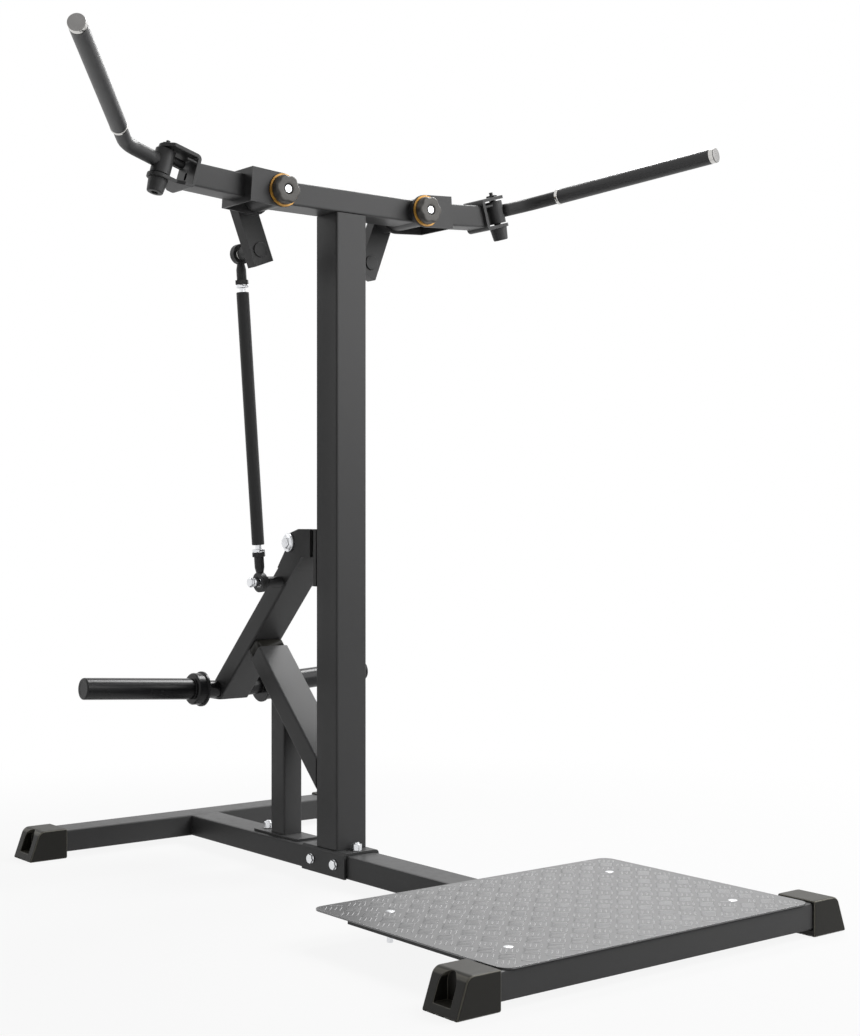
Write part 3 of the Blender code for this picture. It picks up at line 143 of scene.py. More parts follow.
class Signal:
    """A number, colour or vector inside a material: its socket, with arithmetic for numbers."""

    __add__ = arithmetic("ADD")
    __radd__ = arithmetic("ADD", swapped=True)
    __sub__ = arithmetic("SUBTRACT")
    __rsub__ = arithmetic("SUBTRACT", swapped=True)
    __mul__ = arithmetic("MULTIPLY")
    __rmul__ = arithmetic("MULTIPLY", swapped=True)
    __abs__ = arithmetic("ABSOLUTE")
    highest = arithmetic("MAXIMUM")

    def __init__(self, look, socket):
        self.look = look
        self.socket = socket

    def step(self, low, high):
        """0 below low and 1 above high, with a soft rise between them."""
        inputs = {"Value": self, "From Min": low, "From Max": high}
        return self.look.node("ShaderNodeMapRange", {"interpolation_type": "SMOOTHSTEP"}, inputs)


class Look:
    """One material, or the world, and the few ways its nodes are made."""

    def __init__(self, name, kind="materials"):
        self.block = getattr(bpy.data, kind).new(name)
        self.block.use_nodes = True
        self.tree = self.block.node_tree
        self.tree.nodes.clear()

    def node(self, kind, settings=None, inputs=None, output=0):
        """A node of a kind with its settings, then the values or links of its sockets."""
        made = self.tree.nodes.new(kind)
        for key, value in (settings or {}).items():
            setattr(made, key, value)
        for key, value in (inputs or {}).items():
            if isinstance(value, Signal):
                self.tree.links.new(value.socket, made.inputs[key])
            else:
                made.inputs[key].default_value = value
        return Signal(self, made.outputs[output]) if made.outputs else None

    def place(self):
        """Where a point of the object lies at rest, in metres."""
        return self.node("ShaderNodeTexCoord", output="Object")

    def facing(self):
        """The outward direction of the surface, split into its three parts."""
        normal = self.node("ShaderNodeTexCoord", output="Normal")
        parts = self.node("ShaderNodeSeparateXYZ", None, {0: normal}).socket.node
        return [Signal(self, socket) for socket in parts.outputs]

    def rounded_edge(self):
        """1 where the surface turns between two faces, 0 on the faces."""
        x, y, z = [abs(part) for part in self.facing()]
        return 1.0 - x.highest(y).highest(z).step(0.80, 0.93)

    def noise(self, scale, detail=2.0, roughness=0.5, stretch=None):
        where = self.place()
        if stretch:
            where = self.node("ShaderNodeVectorMath", {"operation": "MULTIPLY"}, {0: where, 1: stretch})
        inputs = {"Vector": where, "Scale": scale, "Detail": detail, "Roughness": roughness}
        return self.node("ShaderNodeTexNoise", None, inputs)

    def blend(self, factor, first, second):
        """A colour between two colours."""
        inputs = {0: factor, 6: first, 7: second}
        return self.node("ShaderNodeMix", {"data_type": "RGBA"}, inputs, output=2)

    def mottled(self, factor, colour, darkest, palest):
        """One colour that wanders between a darker and a paler share of itself."""
        return self.blend(factor, tone(colour, darkest), tone(colour, palest))

    def finish(self, colour, roughness, height, strength, distance, **more):
        """The surface itself, with relief from a height of some strength and distance."""
        relief = {"Height": height, "Strength": strength, "Distance": distance}
        normal = self.node("ShaderNodeBump", None, relief)
        inputs = {"Base Color": colour, "Roughness": roughness, "Normal": normal}
        inputs.update({key.replace("_", " "): value for key, value in more.items()})
        surface = self.node("ShaderNodeBsdfPrincipled", None, inputs)
        self.node("ShaderNodeOutputMaterial", None, {0: surface})
        return self.block


def tone(colour, factor=1.0):
    return tuple(channel * factor for channel in colour[:3]) + (1.0,)


def powder_coat():
    """Satin powder coat: fine orange peel, slightly uneven sheen, a little dust on what faces up."""
    settings = bpy.context.scene.chest_fly_paint
    look = Look("satin_powder_coat")
    cloud = look.noise(2.6, 3.0)
    grain = look.noise(950.0, 2.0, 0.6)
    peel = look.noise(330.0, 1.0)
    up = look.facing()[2].step(0.82, 0.99)
    dust = look.noise(55.0, 4.0, 0.65).step(0.42, 0.75) * up
    colour = look.mottled(cloud, settings.coat, 0.90, 1.10)
    colour = look.blend(grain * 0.30, colour, tone(settings.coat, 1.55))
    colour = look.blend(dust * settings.dust, colour, tone(settings.dust_tint))
    roughness = settings.sheen + (cloud - 0.5) * 0.10 + dust * 0.08
    height = peel * 0.75 + grain * 0.25
    return look.finish(colour, roughness, height, 0.16, 0.0004, Specular_IOR_Level=0.20)


def horn_lacquer():
    """Black gloss lacquer with the fine lengthwise rubs that plates leave on it."""
    settings = bpy.context.scene.chest_fly_paint
    look = Look("horn_gloss_black")
    rub = look.noise(1.0, 3.0, 0.6, (9.0, 420.0, 420.0))
    worn = rub.step(0.60, 0.74) * look.noise(14.0, 2.0).step(0.45, 0.7)
    colour = look.blend(worn * 0.35, tone(settings.horn), (0.085, 0.086, 0.088, 1.0))
    roughness = 0.24 + worn * 0.14 + look.noise(40.0, 2.0) * 0.05
    wave = look.noise(1.0, 1.0, 0.5, (5.0, 60.0, 60.0))
    return look.finish(colour, roughness, wave, 0.08, 0.0006, Specular_IOR_Level=0.25)


def tread_paint():
    """Grey paint of the tread plate: metal flake, scuffs between the bars, a painted glint on the bars
    laid one way and painted light on faces turned to the camera.
    """
    settings = bpy.context.scene.chest_fly_platform
    look = Look("tread_plate_grey")
    flake = look.noise(1500.0, 1.0, 0.7)
    cloud = look.noise(9.0, 4.0, 0.6)
    streak = look.noise(1.0, 4.0, 0.6, (30.0, 220.0, 30.0))
    across, along, facing = look.facing()
    side = 1.0 - facing.step(0.05, 0.30)
    flank = 1.0 - facing.step(0.90, 0.985)
    # Painted glint: the flanks of the bars laid one way are painted pale, metallic and smoother,
    # standing in for the reflection of the side lights.
    painted_glint = abs(across - along).step(0.45, 0.75) * flank
    # Painted light: faces turned to the camera, bar flanks most of all, are painted far paler where
    # they would lie in shade.
    painted_fill_on_camera_side = (0.0 - (across + along)).step(0.15, 0.80)
    colour = look.mottled(cloud, settings.paint, 0.86, 1.12)
    colour = look.blend(flake.step(0.5, 0.8) * 0.35, colour, tone(settings.paint, 1.6))
    # The painted light on the faces turned to the camera.
    colour = look.blend(painted_fill_on_camera_side, colour, tone(settings.paint, 4.4))
    # The painted glint: near white on those flanks.
    colour = look.blend(painted_glint, colour, (0.85, 0.85, 0.86, 1.0))
    colour = look.blend(side * 0.85, colour, tone(settings.edge))
    scuff = streak.step(0.56, 0.72)
    colour = look.blend(scuff * 0.16, colour, tone(settings.paint, 0.62))
    # Roughness, and metallic below, also carry the painted glint.
    roughness = 0.44 + scuff * 0.12 - flake * 0.06 - painted_glint * 0.15
    height = flake * 0.5 + streak * 0.5
    return look.finish(colour, roughness, height, 0.10, 0.0003, Metallic=0.15 + painted_glint * 0.75)


def foot_rubber():
    """Matte moulded rubber of the feet and the bumper. The feet are scuffed paler near the sole, with a
    painted highlight on their rounded edges and painted light on their tops.
    """
    settings = bpy.context.scene.chest_fly_feet
    look = Look("moulded_rubber")
    grain = look.noise(1300.0, 2.0, 0.7)
    cloud = look.noise(28.0, 3.0)
    height = look.node("ShaderNodeSeparateXYZ", None, {0: look.place()}, output=2)
    low = 1.0 - height.step(0.0, 0.012)
    scuff = look.noise(160.0, 3.0, 0.7).step(0.5, 0.7) * low
    colour = look.mottled(cloud, settings.rubber, 0.85, 1.15)
    colour = look.blend(scuff * 0.55, colour, tone(settings.rubber, 2.6))
    on_foot = 1.0 - height.step(0.10, 0.12)
    # Painted highlight: the rounded edges of the feet are painted much paler, and smoother below.
    painted_edge_highlight = look.rounded_edge() * on_foot
    # Painted light: the top faces of the feet are painted paler, as if lit from above.
    top = look.facing()[2].step(0.86, 0.99) * on_foot
    # The painted highlight on the feet's rounded edges.
    colour = look.blend(painted_edge_highlight * 0.9, colour, tone(settings.rubber, 11.0))
    # The painted light on the tops of the feet.
    colour = look.blend(top * 0.7, colour, tone(settings.rubber, 2.6))
    roughness = 0.40 + cloud * 0.12 + scuff * 0.2 - painted_edge_highlight * 0.12
    height = grain * 0.6 + cloud * 0.4
    return look.finish(colour, roughness, height, 0.22, 0.0004, Specular_IOR_Level=0.22)


def grip_rubber():
    """Black hand grip: a smooth rubber sleeve with a fine leather-like grain."""
    settings = bpy.context.scene.chest_fly_handles
    look = Look("grip_rubber")
    inputs = {"Vector": look.place(), "Scale": 520.0}
    cells = look.node("ShaderNodeTexVoronoi", {"feature": "DISTANCE_TO_EDGE"}, inputs)
    grain = cells.step(0.0, 0.18)
    cloud = look.noise(35.0, 3.0)
    colour = look.mottled(cloud, settings.grip, 0.8, 1.25)
    roughness = 0.38 + cloud * 0.10 - grain * 0.05
    return look.finish(colour, roughness, grain * 0.8 + cloud * 0.2, 0.20, 0.0003)


def even_finish(name, colour, shares, cloud, grain, gloss, relief, metallic=0.0):
    """A finish of one colour: a cloud wanders its tone and roughness, and a fine grain covers it."""
    look = Look(name)
    cloud = look.noise(*cloud)
    colour = look.mottled(cloud, colour, *shares)
    roughness = gloss[0] + cloud * gloss[1]
    return look.finish(colour, roughness, look.noise(*grain), *relief, Metallic=metallic)


def bright_zinc():
    """Bright zinc plate: pale metal with faint machining marks and a slightly milky film."""
    zinc = bpy.context.scene.chest_fly_fasteners.zinc
    film, marks = (170.0, 3.0, 0.6), (2200.0, 1.0)
    gloss, relief = (0.20, 0.16), (0.06, 0.0002)
    return even_finish("bright_zinc", zinc, (0.86, 1.06), film, marks, gloss, relief, 1.0)


def washer_plastic():
    """The orange bearing washer."""
    washer = bpy.context.scene.chest_fly_fasteners.washer
    cloud, fine = (90.0, 3.0), (900.0, 2.0)
    gloss, relief = (0.36, 0.12), (0.10, 0.0002)
    return even_finish("orange_washer", washer, (0.88, 1.1), cloud, fine, gloss, relief)


def knob_plastic():
    """Dark moulded plastic of the lobed knobs, with spark-eroded grain."""
    knob = bpy.context.scene.chest_fly_fasteners.knob
    cloud, grain = (50.0, 3.0), (1700.0, 2.0, 0.7)
    gloss, relief = (0.42, 0.12), (0.26, 0.0003)
    return even_finish("knob_moulded_plastic", knob, (0.88, 1.16), cloud, grain, gloss, relief)


def polished_chrome():
    """Polished chrome of the grip rings, end caps and rod balls, with hairline marks."""
    settings = bpy.context.scene.chest_fly_handles
    look = Look("polished_chrome")
    hair = look.noise(900.0, 2.0, 0.7)
    cloud = look.noise(60.0, 2.0)
    colour = look.mottled(cloud, settings.chrome, 0.92, 1.0)
    roughness = 0.07 + cloud * 0.07 + hair.step(0.55, 0.8) * 0.06
    return look.finish(colour, roughness, hair, 0.03, 0.0001, Metallic=1.0)


def brushed_disc():
    """The turned grey face of the handle's end caps."""
    look = Look("turned_end_face")
    hair = look.noise(1400.0, 2.0, 0.7)
    cloud = look.noise(70.0, 2.0)
    colour = look.blend(cloud, (0.23, 0.225, 0.22, 1.0), (0.30, 0.295, 0.29, 1.0))
    return look.finish(colour, 0.34 + hair * 0.12, hair, 0.08, 0.0002, Metallic=0.8)


MAKERS = {
    "frame_charcoal": powder_coat,
    "tread_plate": tread_paint,
    "rubber_black": foot_rubber,
    "zinc": bright_zinc,
    "horn_black": horn_lacquer,
    "chrome": polished_chrome,
    "grip_black": grip_rubber,
    "washer_orange": washer_plastic,
    "knob_dark": knob_plastic,
    "end_face": brushed_disc,
}
FINISHES = {}


def paint(mesh, slot):
    """Shades a mesh smoothly in the finish of a slot, which is made once."""
    if slot not in FINISHES:
        FINISHES[slot] = MAKERS[slot]()
    mesh.polygons.foreach_set("use_smooth", [True] * len(mesh.polygons))
    mesh.materials.clear()
    mesh.materials.append(FINISHES[slot])


def even_normals(piece):
    weighted = piece.modifiers.new("even_normals", "WEIGHTED_NORMAL")
    weighted.mode = "FACE_AREA"
    weighted.weight = 60
    weighted.keep_sharp = True


def coat_node(node, edge=0.0):
    """Keeps a CAD node's shape: welds its seams, eases its sharp edges and paints it."""
    piece = NODES[node]
    mesh = piece.data
    if "custom_normal" in mesh.attributes:
        mesh.attributes.remove(mesh.attributes["custom_normal"])
    paint(mesh, SLOT_OF[node])
    weld = piece.modifiers.new("weld_seams", "WELD")
    weld.merge_threshold = 0.00001
    if edge:
        merge = piece.modifiers.new("join_flats", "DECIMATE")
        merge.decimate_type = "DISSOLVE"
        merge.angle_limit = radians(0.6)
        ease = piece.modifiers.new("eased_edges", "BEVEL")
        ease.width = edge
        ease.segments = 2
        ease.limit_method = "ANGLE"
        ease.angle_limit = radians(38)
    even_normals(piece)


def loose_piece(name, body):
    """Turns a mesh under construction into an object."""
    bmesh.ops.recalc_face_normals(body, faces=body.faces)
    mesh = bpy.data.meshes.new(name)
    body.to_mesh(mesh)
    body.free()
    piece = bpy.data.objects.new(name, mesh)
    bpy.context.scene.collection.objects.link(piece)
    return piece


def prism_along(outline, axis, start, end, side=1):
    """A straight body from (x, z) points along y, or from (y, z) points along x. side mirrors its x."""
    body = bmesh.new()
    rows = []
    for at in (start, end):
        places = [(side * a, at, b) if axis == "y" else (side * at, a, b) for a, b in outline]
        rows.append([body.verts.new(place) for place in places])
    skin(body, rows)
    bmesh.ops.recalc_face_normals(body, faces=body.faces)
    return body


def rounded_box(middle_a, middle_b, wide, high, corner, steps=5):
    """The outline of a box with round corners, such as a tube's section."""
    points = []
    for turn, sa, sb in ((0, 1, 1), (90, -1, 1), (180, -1, -1), (270, 1, -1)):
        for i in range(steps + 1):
            angle = radians(turn + 90 * i / steps)
            a = middle_a + sa * (wide / 2 - corner) + corner * cos(angle)
            b = middle_b + sb * (high / 2 - corner) + corner * sin(angle)
            points.append((a, b))
    return points


def cut(piece, bodies, name):
    """Adds one Boolean cut by each body. settle() makes them final."""
    for i, body in enumerate(bodies):
        tool = loose_piece(f"{piece.name}_{name}_{i}", body)
        tool.hide_render = True
        boolean = piece.modifiers.new(f"{name}_{i}", "BOOLEAN")
        boolean.operation = "DIFFERENCE"
        boolean.solver = "EXACT"
        boolean.object = tool


def settle(piece):
    """Makes the modifiers final and removes the cutting bodies."""
    tools = [m.object for m in piece.modifiers if m.type == "BOOLEAN"]
    graph = bpy.context.evaluated_depsgraph_get()
    graph.update()
    mesh = bpy.data.meshes.new_from_object(piece.evaluated_get(graph))
    piece.modifiers.clear()
    piece.data = mesh
    for tool in tools:
        bpy.data.objects.remove(tool, do_unlink=True)


def new_piece(name, body, node, slot, replaced=()):
    """Turns a mesh under construction into a piece that rides where its CAD node does."""
    dress(loose_piece(name, body), node, slot, replaced)


def stand_in(body, node, slot):
    """Turns a mesh under construction into the piece that takes its CAD node's place."""
    new_piece(f"{node}_fine", body, node, slot, [node])


def turned_stand_in(node, slot, profile, origin, along, sides=48, **more):
    """A turned piece in its CAD node's place."""
    body = bmesh.new()
    lathe(body, profile, origin, along, sides, **more)
    stand_in(body, node, slot)


def dress(piece, node, slot, replaced=()):
    """Smooths a piece, gives it its finish and lets it ride with the CAD node's body."""
    paint(piece.data, slot)
    even_normals(piece)
    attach(piece, BODY_OF[node])
    if replaced:
        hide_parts(*replaced)


def eased(profile, size=0.0006, steps=3, closed=False):
    """The profile with rounded corners. A point is (distance, radius) and may add its half flats."""
    count = len(profile)
    result = []
    for i, point in enumerate(profile):
        before = profile[i - 1] if (i or closed) else None
        after = profile[(i + 1) % count] if (i < count - 1 or closed) else None
        if before is None or after is None or point[1] == 0:
            result.append(point)
            continue
        here = Vector(point[:2])
        back = Vector(before[:2]) - here
        on = Vector(after[:2]) - here
        if back.length < 1e-7 or on.length < 1e-7 or pi - back.angle(on) < radians(12):
            result.append(point)
            continue
        trim = min(size, back.length * 0.45, on.length * 0.45)
        first = here + back.normalized() * trim
        last = here + on.normalized() * trim
        for step in range(steps + 1):
            t = step / steps
            spot = first * (1 - t) ** 2 + here * 2 * t * (1 - t) + last * t**2
            result.append((spot.x, spot.y) + tuple(point[2:]))
    return result


def radius_at(point, turn):
    """The radius of a profile's point, less where a flat cuts it."""
    if len(point) < 3:
        return point[1]
    sixth = pi / 3
    flat = point[2] / cos((turn % sixth) - sixth / 2)
    return min(point[1], flat)


def circle(body, centre, across, other, sides, radius_of, turn=0.0):
    """A closed row of points about a centre."""
    row = []
    for i in range(sides):
        angle = 2 * pi * i / sides
        spot = across * cos(angle + turn) + other * sin(angle + turn)
        row.append(body.verts.new(centre + spot * radius_of(angle)))
    return row


def lathe(body, profile, origin, along, sides=48, ring=False, turn=0.0):
    """Adds a turned shape about a line. A point with a third number is also cut to six flats."""
    along = Vector(along).normalized()
    helper = Vector((0, 0, 1)) if abs(along.z) < 0.9 else Vector((0, 1, 0))
    across = along.cross(helper).normalized()
    other = along.cross(across)
    rows = []
    for point in profile:
        centre = Vector(origin) + along * point[0]
        if point[1] == 0:
            rows.append([body.verts.new(centre)])
            continue
        radius_of = lambda angle: radius_at(point, angle)
        rows.append(circle(body, centre, across, other, sides, radius_of, turn))
    if ring:
        rows.append(rows[0])
    skin(body, rows, False)


def skin(body, rows, ends=True):
    """Joins closed rows of points with faces, and closes both ends. A row of one point is a tip."""
    for first, second in zip(rows, rows[1:]):
        count = max(len(first), len(second))
        for i in range(count):
            j = (i + 1) % count
            corners = [first[i % len(first)], first[j % len(first)]]
            corners += [second[j % len(second)], second[i % len(second)]]
            distinct = list(dict.fromkeys(corners))
            if len(distinct) > 2:
                body.faces.new(distinct)
    if ends:
        body.faces.new(list(reversed(rows[0])))
        body.faces.new(rows[-1])


def sweep(body, points, radius, sides=40):
    """Adds a round bar along a line of points, closed at both ends."""
    rows = []
    across = None
    for i, point in enumerate(points):
        back = points[max(i - 1, 0)]
        on = points[min(i + 1, len(points) - 1)]
        along = (on - back).normalized()
        if across is None:
            across = along.orthogonal().normalized()
        across = (across - along * across.dot(along)).normalized()
        other = along.cross(across)
        rows.append(circle(body, point, across, other, sides, lambda angle: radius))
    skin(body, rows)


def thread(start, end, radius, pitch=0.00175):
    """The zigzag outline of a threaded end."""
    profile = []
    count = max(1, int(abs(end - start) / pitch))
    step = (end - start) / count
    for i in range(count):
        profile.append((start + step * i, radius - 0.0005))
        profile.append((start + step * (i + 0.5), radius))
    profile.append((end - step * 0.1, radius - 0.0005))
    profile.append((end, radius - 0.0012))
    return profile


def hex_head(start, end, flats, chamfer=0.0014):
    """Outline of a hexagon whose free end is chamfered to a circle and slightly dished."""
    half = flats / 2
    tip = half / cos(pi / 6)
    sign = 1 if end > start else -1
    return [
        (start, tip, half),
        (end - sign * chamfer, tip, half),
        (end - sign * chamfer * 0.45, half * 1.07, half),
        (end, half * 0.965, half * 0.985),
        (end, half * 0.90, half * 0.95),
        (end, half * 0.78, half),
    ]


def washer_outline(start, end, inner, outer):
    return [(start, inner), (start, outer), (end, outer), (end, inner)]


def arm_line(side):
    """The front-to-back line of an arm's pivot."""
    return Vector((side * PIVOT.x, PIVOT.y, PIVOT.z)), Vector((0, 1, 0))


def lever_pin_line(side, y):
    """A point on the front-to-back line of a lever pin."""
    x = side * (PIVOT.x - DRIVE_REACH * sin(DRIVE_SWING))
    return Vector((x, y, PIVOT.z - DRIVE_REACH * cos(DRIVE_SWING)))


def swivel_frame(side, turned=False):
    place = Matrix.Translation((side * SWIVEL.x, SWIVEL.y, SWIVEL.z))
    place = place @ Matrix.Rotation(-side * SWIVEL_LEAN, 4, "Y")
    if turned:
        place = place @ Matrix.Rotation(-side * HANDLE_TURN[side], 4, "Z")
    return place


def swivel_point(side, point, turned=False):
    return swivel_frame(side, turned) @ Vector((side * point[0], point[1], point[2]))


def swivel_line(side, start, end, turned=False):
    """Where a line of the swivel starts, and its direction."""
    origin = swivel_point(side, start, turned)
    return origin, swivel_point(side, end, turned) - origin


def rolled(point):
    """A point of the handle's bend plane after its small roll about the first straight."""
    x, y, z = point
    up, over = cos(-HANDLE_ROLL), sin(-HANDLE_ROLL)
    return (x, y * up - z * over, y * over + z * up)


def colour_setting(name, description, default):
    return FloatVectorProperty(name=name, description=description, subtype="COLOR", default=default)


def length_setting(name, description, default):
    return FloatProperty(name=name, description=description, unit="LENGTH", default=default, min=0.0)


def power_setting(name, description, default):
    return FloatProperty(name=name, description=description, unit="POWER", default=default, min=0.0)


def share_setting(name, description, default):
    return FloatProperty(name=name, description=description, default=default, min=0.0, max=1.0)


def count_setting(name, description, default, lowest, highest):
    return IntProperty(name=name, description=description, default=default, min=lowest, max=highest)


class ChestFlyPaint(bpy.types.PropertyGroup):
    coat: colour_setting("Coat", "Colour of the powder coat", (0.051, 0.0510, 0.0515))
    horn: colour_setting("Horn", "Colour of the plate horns' lacquer", (0.012, 0.012, 0.013))
    sheen: share_setting("Sheen", "Roughness of the powder coat", 0.40)
    dust: share_setting("Dust", "How much dust lies on top faces", 0.04)
    dust_tint: colour_setting("Dust tint", "Colour of the dust", (0.28, 0.28, 0.27))
    edge: length_setting("Eased edge", "Width of the eased steel edges", 0.0007)


class ChestFlyPlatform(bpy.types.PropertyGroup):
    paint: colour_setting("Paint", "Colour of the tread plate", (0.140, 0.140, 0.1415))
    edge: colour_setting("Edge", "Colour of the tread plate's cut edge", (0.035, 0.035, 0.036))
    cell: length_setting("Cell", "Side of one group of bars", 0.0382)
    bar_pitch: length_setting("Bar pitch", "From one bar to the next", 0.0095)
    bar_long: length_setting("Bar length", "Length of a raised bar", 0.0300)
    bar_wide: length_setting("Bar width", "Width of a raised bar", 0.0040)
    bar_high: length_setting("Bar height", "Height of a raised bar", 0.0006)
    bars: count_setting("Bars", "Raised bars in a group", 4, 1, 8)


class ChestFlyFeet(bpy.types.PropertyGroup):
    rubber: colour_setting("Rubber", "Colour of the feet and the bumper", (0.0135, 0.0128, 0.0105))
    edge: length_setting("Soft edge", "Rounding of the moulded edges", 0.0042)


class ChestFlyFasteners(bpy.types.PropertyGroup):
    zinc: colour_setting("Zinc", "Colour of the zinc plate", (0.80, 0.81, 0.83))
    washer: colour_setting("Washer", "Colour of the bearing washers", (0.80, 0.40, 0.06))
    knob: colour_setting("Knob", "Colour of the knobs", (0.052, 0.048, 0.042))
    sides: count_setting("Sides", "Steps round a turned fastener", 48, 12, 96)


class ChestFlyHandles(bpy.types.PropertyGroup):
    grip: colour_setting("Grip", "Colour of the hand grips", (0.020, 0.020, 0.021))
    chrome: colour_setting("Chrome", "Colour of the chromed parts", (0.62, 0.61, 0.59))
    tube: length_setting("Tube radius", "Radius of the handle tube", 0.015)


class ChestFlyStudio(bpy.types.PropertyGroup):
    key: power_setting("Key", "Power of the front light", 58.0)
    side: power_setting("Side", "Power of the high light on the right, which gives no gloss", 106.0)
    rear: power_setting("Rear", "Power of the light behind on the right", 82.0)
    fill: power_setting("Fill", "Power of the weak light behind on the left", 16.0)
    ambient: share_setting("Ambient", "Strength of the even light", 0.08)
    floor: length_setting("Floor", "Width of the floor", 60.0)


class CHESTFLY_OT_frame(bpy.types.Operator):
    """Paint the tubes, plates and brackets of the frame, the arms and the weight lever"""

    bl_idname = "chestfly.frame"
    bl_label = "Paint the frame"
    bl_options = {"REGISTER", "UNDO"}

    def execute(self, context):
        settings = context.scene.chest_fly_paint
        for node, slot in SLOT_OF.items():
            if slot != "frame_charcoal":
                continue
            coat_node(node, settings.edge)
        return {"FINISHED"}


class CHESTFLY_OT_platform(bpy.types.Operator):
    """Make the tread plate with its raised bars and bolts"""

    bl_idname = "chestfly.platform"
    bl_label = "Make the platform"
    bl_options = {"REGISTER", "UNDO"}

    def execute(self, context):
        settings = context.scene.chest_fly_platform
        low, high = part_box("tread_plate")
        body = bmesh.new()
        self.plate(body, low, high)
        self.raised_bars(body, low, high, settings)
        new_piece("tread_plate_with_bars", body, "tread_plate", "tread_plate", ["tread_plate"])
        for node in [name for name in NODES if name.startswith("platform_bolt")]:
            self.bolt(node)
        return {"FINISHED"}

    def plate(self, body, low, high):
        edge = 0.00015
        top = high.z - BARS_RISE
        middle = (low + high) / 2
        rows = []
        for inset, z in ((edge, low.z), (0, low.z + edge), (0, top - edge), (edge, top)):
            wide, deep = high.x - low.x - 2 * inset, high.y - low.y - 2 * inset
            outline = rounded_box(middle.x, middle.y, wide, deep, PLATE_CORNER - inset, 8)
            rows.append([body.verts.new((x, y, z)) for x, y in outline])
        skin(body, rows)

    def raised_bars(self, body, low, high, settings):
        """Groups of short bars in two crossing directions, like a woven mat."""
        cell = settings.cell
        slant = sqrt(0.5)
        reach = int((high - low).length / cell) + 2
        middle = (low + high) / 2
        middle.z = 0
        for i in range(-reach, reach):
            for j in range(-reach, reach):
                centre = Vector(((i + j) * cell * slant, (j - i) * cell * slant, 0)) + middle
                turn = radians(45 if (i + j) % 2 else -45)
                long = Vector((cos(turn), sin(turn), 0))
                wide = Vector((-long.y, long.x, 0))
                for k in range(settings.bars):
                    spot = centre + wide * (k - (settings.bars - 1) / 2) * settings.bar_pitch
                    if self.inside(spot, low, high):
                        spot.z = high.z - BARS_RISE
                        self.bar(body, spot, long, wide, settings)

    def inside(self, spot, low, high):
        """Whether a bar here is clear of the plate's edge, its round corners and its bolts."""
        margin = 0.0125
        from_corner = 0.015
        from_bolt = 0.021
        if not low.x + margin < spot.x < high.x - margin:
            return False
        if not low.y + margin < spot.y < high.y - margin:
            return False
        corner_x = max(abs(spot.x - (low.x + high.x) / 2) - (high.x - low.x) / 2 + PLATE_CORNER, 0)
        corner_y = max(abs(spot.y - (low.y + high.y) / 2) - (high.y - low.y) / 2 + PLATE_CORNER, 0)
        if hypot(corner_x, corner_y) > from_corner:
            return False
        return min(hypot(spot.x - x, spot.y - y) for x, y in PLATFORM_BOLTS) > from_bolt

    def bar(self, body, spot, long, wide, settings):
        half_long, half_wide, high = settings.bar_long / 2, settings.bar_wide / 2, settings.bar_high
        foot = [(-1.0, 0.0), (-0.72, -0.78), (0.0, -1.0), (0.72, -0.78)]
        foot += [(-a, -b) for a, b in foot]
        rows = []
        for share, lift in ((1.0, -0.0002), (0.66, high * 0.68), (0.30, high)):
            stretch = half_long - half_wide * (1 - share) * 1.6
            row = []
            for a, b in foot:
                place = spot + long * a * stretch + wide * b * half_wide * share
                row.append(body.verts.new(place + Vector((0, 0, lift))))
            rows.append(row)
        skin(body, rows)

    def bolt(self, node):
        low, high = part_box(node)
        origin = (low + high) / 2
        origin.z = 0
        head = 0.0095
        nut = high.z - 0.0168
        nut_thick = 0.0098
        nut_flats = 0.0175
        nut_washer = nut + 0.0018
        profile = [(low.z, 0)]
        profile += reversed(thread(nut - 0.009, low.z, BOLT_RADIUS))
        profile += reversed(hex_head(nut, nut - nut_thick, nut_flats))
        profile += [(nut, WASHER_RADIUS), (nut_washer, WASHER_RADIUS), (nut_washer, BOLT_RADIUS)]
        for drop, share in ((0.0022, 1.0), (0.0012, 1.0), (0.0005, 0.86), (0.0001, 0.5), (0, 0)):
            profile.append((high.z - drop, head * share))
        turned_stand_in(node, "zinc", profile, origin, (0, 0, 1), turn=0.3)


